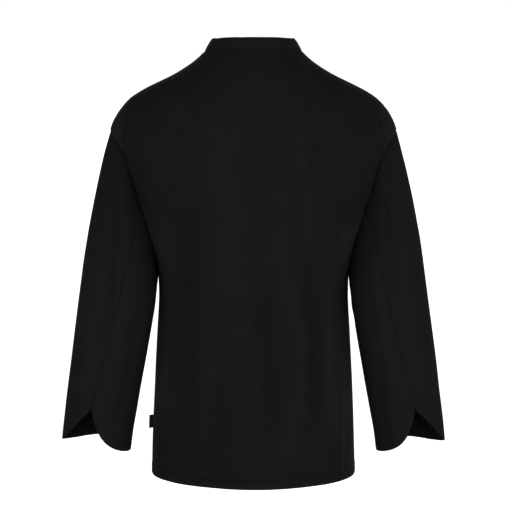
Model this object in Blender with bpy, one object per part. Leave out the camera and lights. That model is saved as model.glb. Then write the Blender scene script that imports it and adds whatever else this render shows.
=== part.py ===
"""A men's chef jacket, hollow, in the pose it keeps on its wearer.

+X is the wearer's left, +Y the wearer's back and +Z up. The origin is the middle of the neck
opening, level with the neck points of the shoulder seams. Sizes are in millimetres and are turned
into metres where the meshes are made.

The torso is one smooth form, a rounded section at each height. Every torso panel is a wall whose
outer face lies on that form between its seam lines, so neighbours meet along the same line with
SEAM_GAP between them. Sleeves and collar grow out of those lines, and their walls are mitred
where they join.
"""

import math

import bmesh
import bpy
import numpy as np

MM = 0.001

# Driving sizes
WALL = 1.6
COLLAR_WALL = 2.4
SEAM_GAP = 0.3
HEM_HEIGHT = -736.0
# The hem hangs this much lower at the middle of the back, and rises again by this power.
HEM_DROP = 2.0
HEM_DROP_POWER = 12
LAP_LIFT = 3.2
LAP_FADE = 26.0
LAP_MARGIN = 14.0
COLLAR_HEIGHT = 25.5
COLLAR_BULGE = 0.8
COLLAR_CORNER = 0.78
# The collar leans inwards by these degrees at the back and at the front, and changes over a run.
COLLAR_LEAN_BACK = 36.0
COLLAR_LEAN_FRONT = 10.0
COLLAR_LEAN_Y = 40.0
COLLAR_LEAN_RUN = 110.0
# How far the inward direction turns to the back, and how square the collar stands to its line.
COLLAR_OVAL = 0.35
COLLAR_SQUARE = 0.6
BUTTON_RADIUS = 8.5
BUTTON_ROWS = 5
BUTTON_TOP = -84.0
BUTTON_PITCH = 82.0
BUTTON_INSET = 17.0
# A button's turned profile: share of its radius, rise.
BUTTON_PROFILE = ((0.87, 0.0), (1.0, 1.3), (0.88, 3.0), (0.64, 2.1))
TAB_REACH = 5.6
TAB_THICKNESS = 1.4
TAB_HEIGHT = 23.5
TAB_TOP = -636.0
TAB_DROOP = 1.0
# The folded tab seen from above: share of its reach, share of its thickness.
TAB_OUTLINE = ((0.0, -0.5), (0.86, -0.5), (1.0, -0.2), (1.0, 0.2), (0.86, 0.5), (0.0, 0.5))

# On a level rim, how much a point further from the middle counts as higher.
RIM_SLOPE = 0.1
# A mitre faces its plane by at least this cosine, and leans by these shares of the wall at most.
MITRE_FACING = 0.3
MITRE_LEAST = -0.6
MITRE_MOST = 2.0
# Edges that meet straighter than this cosine make no corner, and a corner moves by this at most.
CORNER_STRAIGHT = 0.9
CORNER_MOST = 3.0
# How points are brought onto the torso and its normals measured.
FORM_ROUNDS = 12
FORM_STEP = 8.0
NORMAL_TURN = 0.02
NORMAL_RISE = 1.5
FINE_POINTS = 300
TINY = 1e-6
# Points closer than this in metres are one, and faces that meet at more degrees are shaded apart.
MERGE = 1e-6
SHARP_ANGLE = 40.0

# The torso: height, half width, depth to the back, depth to the front, squareness of the section.
TORSO = (
    (14.0, 79.0, 60.0, 8.0, 2.2),
    (6.0, 82.5, 62.0, 14.0, 2.2),
    (-2.0, 87.0, 68.0, 25.0, 2.2),
    (-12.0, 99.5, 75.0, 43.0, 2.2),
    (-26.0, 120.0, 83.0, 54.0, 2.2),
    (-40.0, 144.0, 89.5, 60.0, 2.2),
    (-53.5, 172.5, 95.0, 66.0, 2.2),
    (-67.0, 199.5, 100.0, 71.0, 2.2),
    (-81.0, 218.0, 105.0, 79.0, 2.25),
    (-95.0, 230.0, 109.0, 88.0, 2.25),
    (-110.0, 239.5, 112.5, 97.0, 2.25),
    (-129.5, 248.5, 116.5, 107.0, 2.35),
    (-158.0, 234.0, 120.0, 118.0, 2.5),
    (-186.0, 222.0, 122.5, 125.5, 2.6),
    (-215.0, 213.5, 124.5, 129.5, 2.6),
    (-242.0, 205.5, 125.5, 131.5, 2.57),
    (-270.0, 196.5, 125.5, 132.5, 2.52),
    (-300.0, 187.0, 124.5, 132.5, 2.47),
    (-331.0, 177.5, 123.0, 131.5, 2.4),
    (-362.0, 170.2, 121.2, 130.7, 2.35),
    (-395.0, 166.0, 119.7, 130.1, 2.3),
    (-423.0, 165.8, 118.9, 129.7, 2.27),
    (-452.0, 167.6, 118.6, 129.6, 2.25),
    (-509.0, 170.7, 119.5, 130.0, 2.25),
    (-566.0, 173.5, 122.0, 131.0, 2.25),
    (-624.0, 176.2, 125.5, 132.5, 2.25),
    (-682.0, 178.6, 130.0, 134.0, 2.2),
    (-736.0, 180.2, 134.0, 135.5, 2.15),
)

# Soft drapes of the torso: angle round it at the top and at the bottom (0 at the left side, 90 at
# the back), half width in degrees, heights where it begins and is full, how far it stands out.
DRAPES = (
    (118.0, 113.0, 8.0, -150.0, -330.0, 3.2),
    (136.0, 134.0, 6.0, -380.0, -520.0, 3.0),
    (76.0, 80.0, 10.0, -150.0, -240.0, 1.8),
    (100.0, 99.0, 6.0, -330.0, -480.0, -2.0),
    (56.0, 54.0, 8.0, -360.0, -520.0, 2.4),
    (35.0, 32.0, 7.0, -400.0, -560.0, -2.2),
    (152.0, 152.0, 6.0, -420.0, -560.0, -2.4),
    (-38.0, -36.0, 8.0, -300.0, -480.0, 2.6),
    (-57.0, -57.0, 7.0, -420.0, -600.0, -2.0),
    (-128.0, -124.0, 8.0, -330.0, -500.0, 2.8),
    (-146.0, -144.0, 7.0, -420.0, -580.0, -2.2),
)

# The drapes lose this share of their depth from here down to the hem.
DRAPE_CALM = -600.0
DRAPE_LOSS = 0.7

# Seam lines on the left half of the torso: x, y, height. The right half mirrors most of them.
NECK_FRONT = (
    (0, -60, -47),
    (20, -59, -45),
    (42, -55, -36),
    (62, -45, -23),
    (77, -29, -11),
    (84, -8, -1),
)
NECK_BACK = ((84, -8, -1), (84.5, 8, 3), (78, 32, 4.5), (50, 52, 6), (0, 62, 6.5))
NECK_OVER = ((0, -60, -47), (-8, -60, -49.2), (-20, -59, -47.8), (-42, -55, -38.8))
NECK_UNDER = ((0, -60, -47), (8, -60, -51), (20, -59, -49.8), (42, -55, -40.8))
SHOULDER_INNER = (
    (84, -8, -1),
    (105, -14, -14),
    (147, -17, -41),
    (190, -16, -63),
    (216, -14, -81),
)
SHOULDER_OUTER = ((216, -14, -81), (236, -10, -104), (248.5, -6, -129.5))
INSET_LINE = (
    (216, 36, -186),
    (214, 48, -160),
    (213.5, 62, -130),
    (214, 53, -102),
    (215, 30, -85),
    (216, 0, -79),
    (216, -14, -81),
)
ARMHOLE_UPPER = ((216, 36, -186), (232, 20, -158), (242, 6, -141), (248.5, -6, -129.5))
ARMHOLE_LOWER = (
    (165.5, 0, -388),
    (166, 14, -382),
    (169, 27, -362),
    (175.5, 35, -330),
    (186, 41, -289),
    (200, 42, -244),
    (209, 42, -214),
    (216, 36, -186),
)
ARMHOLE_FRONT = (
    (165.5, 0, -388),
    (166, -14, -383),
    (169, -32, -364),
    (176, -48, -330),
    (187, -58, -289),
    (199, -61, -244),
    (211, -57, -205),
    (225, -46, -173),
    (239, -29, -147),
    (248.5, -6, -129.5),
)
SIDE_LEFT = ((180.2, -4, -736), (173.5, -4, -566), (166.5, -3, -440), (165.5, 0, -388))
SIDE_RIGHT = (
    (-159, 70, -736),
    (-154.5, 63, -586),
    (-157, 45, -480),
    (-163, 17, -415),
    (-165.5, 0, -388),
)
# How far a front reaches past the centre front: height, reach.
LAP_EDGE = ((-736.0, 80.0), (-250.0, 80.0), (-150.0, 73.0), (-90.0, 61.0), (-40.0, 46.0))

# The sleeve below the armpit: height, centre x, centre y, half width, half depth.
SLEEVE = (
    (-391.0, 231.5, 32.0, 67.5, 60.0),
    (-419.0, 235.6, 34.0, 67.1, 59.0),
    (-475.0, 244.5, 34.0, 66.1, 57.0),
    (-532.0, 253.6, 31.0, 64.9, 54.5),
    (-590.0, 262.7, 26.0, 63.5, 51.5),
    (-648.0, 271.8, 20.0, 62.7, 48.5),
    (-698.0, 278.0, 14.5, 62.2, 45.8),
)
# The straight part begins this much lower at the underarm than outside.
SLEEVE_TOP_DROP = 59.0
SLEEVE_TOP_ANGLE = 15.0
# The cuff's edge: angle round the sleeve (0 outside, 90 at the back), height on the left sleeve and
# on the right one. The deep notch is at the end of the back seam, and the lobe of the under sleeve
# hangs lowest.
CUFF = (
    (-135.0, -684.0, -687.0),
    (-90.0, -677.0, -681.0),
    (-50.0, -680.3, -684.3),
    (-25.0, -679.0, -682.7),
    (0.0, -675.5, -678.0),
    (18.0, -671.0, -672.5),
    (27.0, -665.8, -666.8),
    (39.0, -656.0, -656.5),
    (50.0, -645.0, -645.0),
    (60.5, -632.0, -632.0),
    (69.5, -621.5, -621.5),
    (77.5, -612.0, -612.0),
    (83.8, -632.0, -631.0),
    (95.4, -660.0, -661.5),
    (110.5, -678.0, -679.0),
    (128.3, -688.0, -688.0),
    (148.4, -693.0, -693.0),
    (170.7, -694.5, -694.5),
    (195.0, -692.5, -693.0),
    (225.0, -684.0, -687.0),
)
# Where the seams and the underarm stand round the sleeve, in degrees.
NOTCH_ANGLE = 77.5
BACK_SEAM_ANGLE = 96.0
UNDERARM_ANGLE = 195.0
FRONT_SEAM_ANGLE = 245.0
# At the cuff, the lines of the under sleeve draw together towards the notch by this power.
LOBE_CROWDING = 1.5
# Which way the sleeve leaves the armhole for each unit down: angle round it, outwards, backwards.
SLEEVE_LEAVE = (
    (0.0, 0.315, 0.0),
    (60.0, 0.25, 0.32),
    (96.0, 0.12, 0.42),
    (150.0, -0.02, 0.45),
    (195.0, 0.06, 0.15),
    (245.0, 0.02, -0.3),
    (290.0, 0.18, -0.4),
    (330.0, 0.28, -0.24),
    (360.0, 0.315, 0.0),
)
# How far along its run a sleeve keeps the direction that it leaves the armhole in and comes
# into the straight part in.
LEAVE_SHARE = 0.27
ARRIVE_SHARE = 0.33
# The straight part's direction is read over this drop.
ARRIVE_DROP = 20.0
# The inside of the torso, seen from the middle of the left armhole.
TORSO_INSIDE = (-30.0, 0.0, 0.0)

# How many faces each stretch has.
SIDE_FACES = 9
ARMHOLE_LOWER_FACES = 11
ARMHOLE_UPPER_FACES = 8
ARMHOLE_FRONT_FACES = 12
SHOULDER_INNER_FACES = 6
SHOULDER_OUTER_FACES = 3
NECK_BACK_FACES = 24
NECK_FRONT_FACES = 11
LAP_FACES = 5
CAP_FACES = 7
TUBE_FACES = 9
COLLAR_FACES = 3
BACK_SEAM_ABOVE_UNDERARM = 7
FRONT_SEAM_ABOVE_UNDERARM = 3
BUTTON_SIDES = 14

MATERIALS = {
    "twill": ((0.0105, 0.0105, 0.0115), 0.85),
    "mesh_knit": ((0.0075, 0.0075, 0.0085), 0.95),
    "button": ((0.012, 0.012, 0.012), 0.4),
    "tab": ((0.01, 0.01, 0.01), 0.7),
}


def unit(vectors):
    """The vectors with a length of 1."""
    return vectors / np.linalg.norm(vectors, axis=-1, keepdims=True)


def smooth(keys, values):
    """A function that runs smoothly through the values at the keys and stays level past them."""
    keys, values = np.asarray(keys, float), np.asarray(values, float)
    order = np.argsort(keys)
    keys, values = keys[order], values[order]
    slopes = np.gradient(values, keys, axis=0)

    def value(at):
        at = np.clip(at, keys[0], keys[-1])
        i = np.clip(np.searchsorted(keys, at, side="right") - 1, 0, len(keys) - 2)
        step = keys[i + 1] - keys[i]
        t = (at - keys[i]) / step
        if values.ndim > 1:
            step, t = step[..., None], t[..., None]
        bend = slopes[i] * step * t * (1 - t) ** 2 - slopes[i + 1] * step * t * t * (1 - t)
        return values[i] + (values[i + 1] - values[i]) * t * t * (3 - 2 * t) + bend

    return value


def columns(table):
    """One smooth function of the first column for each of the others."""
    rows = np.array(table, float)
    return [smooth(rows[:, 0], rows[:, k]) for k in range(1, rows.shape[1])]


half_width, back_depth, front_depth, squareness = columns(TORSO)
sleeve_x, sleeve_y, sleeve_half_width, sleeve_half_depth = columns(SLEEVE)
leave_out, leave_back = columns(SLEEVE_LEAVE)
(lap_edge,) = columns(LAP_EDGE)


def ease(t):
    """A soft step from 0 to 1."""
    t = np.clip(t, 0, 1)
    return t * t * (3 - 2 * t)


def drape(turn, height):
    """How far the cloth stands off the plain form at an angle round the torso and a height."""
    out = np.zeros(np.broadcast(turn, height).shape)
    for top_angle, low_angle, width, start, full, depth in DRAPES:
        down = (start - height) / (start - HEM_HEIGHT)
        angle = top_angle + (low_angle - top_angle) * down
        away = (np.degrees(turn) - angle + 180) % 360 - 180
        out += depth * ease((start - height) / (start - full)) * np.exp(-((away / width) ** 2))
    return out * (1 - DRAPE_LOSS * ease((DRAPE_CALM - height) / (DRAPE_CALM - HEM_HEIGHT)))


def torso(turn, height):
    """The point of the torso at an angle round it and a height."""
    power = 2 / squareness(height)
    c, s = np.cos(turn), np.sin(turn)
    depth = np.where(s > 0, back_depth(height), front_depth(height))
    x = half_width(height) * np.sign(c) * np.abs(c) ** power
    y = depth * np.sign(s) * np.abs(s) ** power
    out = 1 + drape(turn, height) / np.hypot(x, y)
    return np.stack([x * out, y * out, height + 0 * x], axis=-1)


def turn_of(points):
    """The angle round the torso in the direction of each point."""
    x, y, height = np.moveaxis(np.asarray(points, float), -1, 0)
    power = squareness(height) / 2
    depth = np.where(y > 0, back_depth(height), front_depth(height))
    c = np.sign(x) * np.abs(x / half_width(height)) ** power
    s = np.sign(y) * np.abs(y / depth) ** power
    return np.arctan2(s, c)


def fullness(points):
    """1 on the plain form, less inside it and more outside."""
    x, y, height = np.moveaxis(points, -1, 0)
    power = squareness(height)
    depth = np.where(y > 0, back_depth(height), front_depth(height))
    return ((np.abs(x) / half_width(height)) ** power + (np.abs(y) / depth) ** power) ** (1 / power)


def nearest_on_form(points):
    """The points moved square to the plain form until they lie on it."""
    points = np.array(points, float)
    for _ in range(FORM_ROUNDS):
        halves = np.eye(3) / 2
        slope = np.stack([fullness(points + d) - fullness(points - d) for d in halves], axis=-1)
        lack = (1 - fullness(points))[..., None]
        step = lack * slope / np.maximum(np.sum(slope * slope, axis=-1, keepdims=True), TINY)
        length = np.maximum(np.linalg.norm(step, axis=-1, keepdims=True), TINY)
        points += step * np.minimum(1, FORM_STEP / length)
    return points


def onto_torso(points):
    """The points moved level onto the torso with its drapes, and the normals there."""
    turn, height = turn_of(points), np.asarray(points, float)[..., 2]
    across = torso(turn + NORMAL_TURN, height) - torso(turn - NORMAL_TURN, height)
    upward = torso(turn, height + NORMAL_RISE) - torso(turn, height - NORMAL_RISE)
    return torso(turn, height), unit(np.cross(across, upward))


def evenly(points, faces):
    """Points at even distances along a finely pointed line."""
    length = np.concatenate([[0], np.cumsum(np.linalg.norm(np.diff(points, axis=0), axis=1))])
    even = np.linspace(0, length[-1], faces + 1)
    return np.stack([np.interp(even, length, points[:, k]) for k in range(3)], axis=1)


def line(keys, faces):
    """Evenly spaced points on a smooth line through the keys, laid onto the torso."""
    keys = np.array(keys, float)
    along = np.concatenate([[0], np.cumsum(np.linalg.norm(np.diff(keys, axis=0), axis=1))])
    fine = smooth(along, keys)(np.linspace(0, along[-1], FINE_POINTS))
    return onto_torso(evenly(onto_torso(fine)[0], faces))[0]


def hem_line(start, end, faces):
    """Evenly spaced points along the hem, between two angles round the torso."""
    turn = np.linspace(start, end, FINE_POINTS)
    drop = HEM_DROP * np.maximum(np.sin(turn), 0) ** HEM_DROP_POWER
    return evenly(torso(turn, HEM_HEIGHT - drop), faces)


def front_point(x, height):
    """The point of the plain front at a distance from the middle and a height."""
    power = squareness(height)
    y = -front_depth(height) * (1 - (np.abs(x) / half_width(height)) ** power) ** (1 / power)
    return np.stack([x + 0 * y, y, height + 0 * y], axis=-1)


def lap_line(side, keys, faces):
    """The free edge of a front, from the hem up to the end of its neckline."""
    top = np.array(keys[-1], float)
    height = np.linspace(HEM_HEIGHT, top[2], FINE_POINTS)
    reach = side * lap_edge(height)
    reach[-1] = top[0]
    return onto_torso(evenly(front_point(reach, height), faces))[0]


def mirrored(points):
    """The points on the other side of the middle."""
    return points * (-1, 1, 1)


def chain(*lines):
    """Lines joined end to end, each without the point that it shares with the one before."""
    return np.concatenate([lines[0]] + [more[1:] for more in lines[1:]])


def patch(bottom, top, left, right):
    """A grid of points between four lines, bottom and top running from left to right."""
    u = np.linspace(0, 1, len(bottom))[:, None, None]
    v = np.linspace(0, 1, len(left))[None, :, None]
    ruled = (1 - v) * bottom[:, None] + v * top[:, None] + (1 - u) * left[None] + u * right[None]
    ends = (1 - u) * ((1 - v) * bottom[0] + v * top[0]) + u * ((1 - v) * bottom[-1] + v * top[-1])
    return ruled - ends


# An edge of a panel says what each of its faces meets, by the normal of the mitre plane at both
# ends of the face: zero at a loose edge, and NaN where a neighbour carries on the same surface.


def loose(faces):
    """An edge that meets nothing."""
    return np.zeros((faces, 2, 3))


def seam(faces):
    """An edge with a neighbour on the same surface."""
    return np.full((faces, 2, 3), np.nan)


def joint(planes):
    """An edge with a neighbour at an angle, from the mitre planes at its points."""
    return np.stack([planes[:-1], planes[1:]], axis=1)


def pull(inward, plane, normal, wall):
    """How far the outer and the inner point go inwards at an edge."""
    if np.isnan(plane[0]):
        return SEAM_GAP / 2, SEAM_GAP / 2
    if not plane.any():
        return 0.0, 0.0
    facing = max(float(inward @ plane), MITRE_FACING)
    lean = wall * float(np.clip(normal @ plane / facing, MITRE_LEAST, MITRE_MOST))
    return SEAM_GAP / 2 / facing, SEAM_GAP / 2 / facing + lean


def corner(a, b, far_a, far_b):
    """The move that is far_a along a and far_b along b."""
    c = float(a @ b)
    if c > CORNER_STRAIGHT:
        return (a + b) * (far_a + far_b) / 2 / (1 + c)
    move = ((far_a - c * far_b) * a + (far_b - c * far_a) * b) / (1 - c * c)
    return move * min(1.0, CORNER_MOST / max(np.linalg.norm(move), TINY))


def wall_grids(points, normals, wall, edges):
    """The outer and inner grid of a wall whose edges keep their distance from the neighbours.

    edges has what each side meets: bottom, right, top and left, in the order of the grid.
    """
    wide, high = points.shape[:2]
    sides = (
        ([(i, 0) for i in range(wide)], edges["bottom"]),
        ([(wide - 1, j) for j in range(high)], edges["right"]),
        ([(i, high - 1) for i in reversed(range(wide))], edges["top"][::-1, ::-1]),
        ([(0, j) for j in reversed(range(high))], edges["left"][::-1, ::-1]),
    )
    loop = []
    for nodes, planes in sides:
        for node, after, (start, end) in zip(nodes, nodes[1:], planes):
            if np.linalg.norm(points[after] - points[node]) > TINY:
                loop.append((node, after, start, end))
    middle = (wide // 2, high // 2)
    across = points[middle[0] + 1, middle[1]] - points[middle]
    upward = points[middle[0], middle[1] + 1] - points[middle]
    hand = np.sign(np.cross(across, upward) @ normals[middle])
    outer, inner = points.copy(), points - normals * wall
    for (before, _, _, plane_in), (node, after, plane_out, _) in zip(loop[-1:] + loop, loop):
        normal = normals[node]
        into = unit(hand * np.cross(normal, points[node] - points[before]))
        out_of = unit(hand * np.cross(normal, points[after] - points[node]))
        pulls = zip(pull(into, plane_in, normal, wall), pull(out_of, plane_out, normal, wall))
        for grid, (far_in, far_out) in zip((outer, inner), pulls):
            grid[node] += corner(into, out_of, far_in, far_out)
    if np.linalg.norm(points[1, 0] - points[0, 0]) < TINY:
        single = loop[0][0]
        outer[:, 0], inner[:, 0] = outer[single].copy(), inner[single].copy()
    return outer, inner


def material(name):
    """The named material, made at its first use."""
    if name not in bpy.data.materials:
        color, roughness = MATERIALS[name]
        made = bpy.data.materials.new(name)
        made.use_nodes = True
        shader = made.node_tree.nodes["Principled BSDF"]
        shader.inputs["Base Color"].default_value = (*color, 1)
        shader.inputs["Roughness"].default_value = roughness
        shader.inputs["Metallic"].default_value = 0
    return bpy.data.materials[name]


def piece(name, points, faces, finish):
    """A named object from points in millimetres, its doubles merged and its faces outwards."""
    mesh = bpy.data.meshes.new(name)
    mesh.from_pydata([tuple(p) for p in np.asarray(points, float) * MM], [], faces)
    shape = bmesh.new()
    shape.from_mesh(mesh)
    bmesh.ops.remove_doubles(shape, verts=shape.verts, dist=MERGE)
    bmesh.ops.recalc_face_normals(shape, faces=shape.faces)
    shape.to_mesh(mesh)
    shape.free()
    mesh.materials.append(material(finish))
    mesh.shade_smooth()
    mesh.set_sharp_from_angle(angle=math.radians(SHARP_ANGLE))
    made = bpy.data.objects.new(name, mesh)
    bpy.context.scene.collection.objects.link(made)
    return made


def slab(name, outer, inner, finish):
    """A closed wall between an outer and an inner grid of points.

    Each face of the rim is split from its higher outer point, so neighbours are split alike.
    """
    wide, high = outer.shape[:2]
    index = np.arange(wide * high).reshape(wide, high)
    quads = np.stack([index[:-1, :-1], index[1:, :-1], index[1:, 1:], index[:-1, 1:]], axis=-1)
    front = quads.reshape(-1, 4).tolist()
    back = [[k + index.size for k in reversed(face)] for face in front]
    border = [*index[:, 0], *index[-1, 1:], *index[-2::-1, -1], *index[0, -2:0:-1]]
    points = np.concatenate([outer.reshape(-1, 3), inner.reshape(-1, 3)])
    rank = points[:, 2] + RIM_SLOPE * np.abs(points[:, 0])
    rim = []
    for a, b in zip(border, border[1:] + border[:1]):
        far_a, far_b = a + index.size, b + index.size
        if rank[a] > rank[b]:
            rim += [[b, a, far_b], [a, far_a, far_b]]
        else:
            rim += [[b, a, far_a], [b, far_a, far_b]]
    return piece(name, points, front + back + [[int(k) for k in face] for face in rim], finish)


def torso_grid(bottom, top, left, right, at_height):
    """The points and normals of a torso panel between its four lines.

    The points between the lines go onto the form at their own height, or else by the shortest way.
    """
    grid = patch(bottom, top, left, right)
    if not at_height:
        grid = nearest_on_form(grid)
    grid[:, 0], grid[:, -1], grid[0], grid[-1] = bottom, top, left, right
    points, normals = onto_torso(grid)
    points[:, 0], points[:, -1], points[0], points[-1] = bottom, top, left, right
    return points, normals


def lap_lift(points):
    """How far the left front is lifted over the right one."""
    x, _, height = np.moveaxis(points, -1, 0)
    return LAP_LIFT * ease((lap_edge(height) + LAP_MARGIN + LAP_FADE - x) / LAP_FADE)


def armhole_loop():
    """The left armhole from the shoulder seam round the back, the underarm and the front."""
    return chain(
        line(ARMHOLE_UPPER, ARMHOLE_UPPER_FACES)[::-1],
        line(ARMHOLE_LOWER, ARMHOLE_LOWER_FACES)[::-1],
        line(ARMHOLE_FRONT, ARMHOLE_FRONT_FACES),
    )[:-1]


def sleeve_ring(angle, height):
    """The points of the sleeve's straight part at angles round it and heights."""
    x = sleeve_x(height) + sleeve_half_width(height) * np.cos(angle)
    y = sleeve_y(height) + sleeve_half_depth(height) * np.sin(angle)
    return np.stack([x, y, height], axis=-1)


def sleeve_angles(seam_angle, crowding):
    """The angle round the sleeve of each line that runs down from the armhole."""
    back_seam = ARMHOLE_UPPER_FACES + ARMHOLE_LOWER_FACES - BACK_SEAM_ABOVE_UNDERARM
    underarm = ARMHOLE_UPPER_FACES + ARMHOLE_LOWER_FACES
    front_seam = underarm + FRONT_SEAM_ABOVE_UNDERARM
    count = underarm + ARMHOLE_FRONT_FACES
    keys = (0, back_seam, underarm, front_seam, count)
    key_angles = (0, seam_angle, UNDERARM_ANGLE, FRONT_SEAM_ANGLE, 360)
    angles = np.interp(np.arange(count), keys, key_angles)
    lobe = slice(back_seam, underarm)
    reach = UNDERARM_ANGLE - seam_angle
    angles[lobe] = seam_angle + reach * ((angles[lobe] - seam_angle) / reach) ** crowding
    return angles


def sleeve_rings(armhole, cuff_height):
    """Lines of points down the left sleeve, and the direction in which each leaves the armhole.

    cuff_height is the column of the cuff's table that the lines end at.
    """
    upper, lower = sleeve_angles(BACK_SEAM_ANGLE, 1.0), sleeve_angles(NOTCH_ANGLE, LOBE_CROWDING)
    turn = np.radians(upper)
    drop = (1 - np.cos(turn - math.radians(SLEEVE_TOP_ANGLE))) / 2
    top = SLEEVE[0][0] - SLEEVE_TOP_DROP * drop
    end = sleeve_ring(turn, top)
    reach = np.linalg.norm(end - armhole, axis=1)[:, None]
    leave = unit(np.stack([leave_out(upper), leave_back(upper), np.full(len(turn), -1.0)], axis=1))
    arrive = unit(sleeve_ring(turn, top - ARRIVE_DROP) - end)
    first, second = armhole + leave * reach * LEAVE_SHARE, end - arrive * reach * ARRIVE_SHARE
    rows = []
    for t in np.linspace(0, 1, CAP_FACES + 1):
        rows.append(
            (1 - t) ** 3 * armhole
            + 3 * t * (1 - t) ** 2 * first
            + 3 * t * t * (1 - t) * second
            + t**3 * end
        )
    cuff = np.array(CUFF)
    first_angle = cuff[0, 0]
    at = (lower - first_angle) % 360 + first_angle
    bottom = np.interp(at, cuff[:, 0], cuff[:, cuff_height])
    for t in np.linspace(0, 1, TUBE_FACES + 1)[1:]:
        rows.append(sleeve_ring(np.radians(upper + (lower - upper) * t), top + (bottom - top) * t))
    return np.stack(rows, axis=1), leave


def tangents(points, closed):
    """The direction of a line at each of its points, midway between the edges that meet there."""
    if closed:
        before, after = points[-1:], points[:1]
    else:
        before, after = 2 * points[:1] - points[1:2], 2 * points[-1:] - points[-2:-1]
    steps = unit(np.diff(np.concatenate([before, points, after]), axis=0))
    return unit(steps[:-1] + steps[1:])


def mitre(points, closed, normals, other, other_leave, torso_leave):
    """The normal of the plane between the torso and what joins it, towards the torso.

    other has the normals of what joins it. The two leave directions say roughly which way
    each surface goes from the line.
    """
    tangent = tangents(points, closed)
    to_torso = unit(np.cross(normals, tangent))
    to_torso *= np.sign(np.sum(to_torso * torso_leave, axis=1))[:, None]
    to_other = unit(np.cross(other, tangent))
    to_other *= np.sign(np.sum(to_other * other_leave, axis=1))[:, None]
    return unit(to_torso - to_other)


def add_sleeve(side, rings, planes):
    """The outer and the under sleeve of one side, from the left sleeve's lines."""
    count = len(rings)
    around = np.roll(rings, -1, axis=0) - np.roll(rings, 1, axis=0)
    normals = unit(np.cross(np.gradient(rings, axis=1), around))
    back_seam = ARMHOLE_UPPER_FACES + ARMHOLE_LOWER_FACES - BACK_SEAM_ABOVE_UNDERARM
    front_seam = ARMHOLE_UPPER_FACES + ARMHOLE_LOWER_FACES + FRONT_SEAM_ABOVE_UNDERARM
    spans = {
        "sleeve_outer": np.arange(front_seam, count + back_seam + 1) % count,
        "sleeve_under": np.arange(back_seam, front_seam + 1),
    }
    for name, span in spans.items():
        edges = {
            "bottom": joint(-planes[span]),
            "top": loose(len(span) - 1),
            "left": seam(rings.shape[1] - 1),
            "right": seam(rings.shape[1] - 1),
        }
        outer, inner = wall_grids(rings[span], normals[span], WALL, edges)
        if side == "right":
            outer, inner = mirrored(outer), mirrored(inner)
        slab(f"{name}_{side}", outer, inner, "twill")


def add_collar(base, base_normals):
    """The stand collar on the neckline, and the mitre planes along its base."""
    x, y = base[:, 0], base[:, 1]
    forward = ease((COLLAR_LEAN_Y - y) / COLLAR_LEAN_RUN)
    lean = COLLAR_LEAN_BACK + (COLLAR_LEAN_FRONT - COLLAR_LEAN_BACK) * forward
    tangent = tangents(base, False)
    inward = unit(np.stack([-x, -y * COLLAR_OVAL, 0 * x], axis=1))
    inward = unit(inward - tangent * np.sum(inward * tangent, axis=1)[:, None])
    inward[:, 2] = 0
    upward = np.array([(0.0, 0.0, 1.0)])
    tilt = np.radians(lean)[:, None]
    rise = upward * np.cos(tilt) + unit(inward) * np.sin(tilt)
    rise = unit(rise - tangent * np.sum(rise * tangent, axis=1)[:, None] * COLLAR_SQUARE)
    ends = np.minimum(np.arange(len(base)), np.arange(len(base))[::-1])
    height = COLLAR_HEIGHT * np.where(ends == 0, COLLAR_CORNER, 1.0)
    outward = unit(np.cross(tangent, rise))
    outward *= np.sign(np.sum(outward * -inward, axis=1))[:, None]
    share = np.linspace(0, 1, COLLAR_FACES + 1)[None, :, None]
    points = base[:, None] + rise[:, None] * height[:, None, None] * share
    points = points + outward[:, None] * COLLAR_BULGE * np.sin(math.pi * share)
    normals = np.repeat(outward[:, None], COLLAR_FACES + 1, axis=1)
    down = np.stack([-inward[:, 0], -inward[:, 1], np.full(len(base), -1.0)], axis=1)
    planes = mitre(base, False, base_normals, outward, rise, down)
    edges = {
        "bottom": joint(-planes),
        "top": loose(len(base) - 1),
        "left": seam(COLLAR_FACES),
        "right": seam(COLLAR_FACES),
    }
    slab("collar", *wall_grids(points, normals, COLLAR_WALL, edges), "twill")
    return planes


def add_button(name, x, height):
    """A turned button with a rim, on the lifted left front."""
    turns = np.linspace(0, 2 * math.pi, BUTTON_SIDES, endpoint=False)
    c, s = np.cos(turns)[:, None], np.sin(turns)[:, None]
    rim = onto_torso(front_point(x + BUTTON_RADIUS * c[:, 0], height + BUTTON_RADIUS * s[:, 0]))[0]
    seat = rim.mean(axis=0)
    normal = unit(np.cross(rim, np.roll(rim, -1, axis=0)).sum(axis=0))
    normal *= -np.sign(normal[1])
    across = unit(np.cross((0, 0, 1), normal))
    upward = np.cross(normal, across)
    seat = seat + normal * (LAP_LIFT + SEAM_GAP + ((rim - seat) @ normal).max())
    circle = (across * c + upward * s) * BUTTON_RADIUS
    points = np.concatenate([seat + circle * share + normal * rise for share, rise in BUTTON_PROFILE])
    faces = []
    for ring in range(len(BUTTON_PROFILE) - 1):
        for k in range(BUTTON_SIDES):
            a, b = ring * BUTTON_SIDES + k, ring * BUTTON_SIDES + (k + 1) % BUTTON_SIDES
            faces.append((a, b, b + BUTTON_SIDES, a + BUTTON_SIDES))
    last = (len(BUTTON_PROFILE) - 1) * BUTTON_SIDES
    faces.append(tuple(reversed(range(BUTTON_SIDES))))
    faces.append(tuple(range(last, last + BUTTON_SIDES)))
    piece(name, points, faces, "button")


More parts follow.
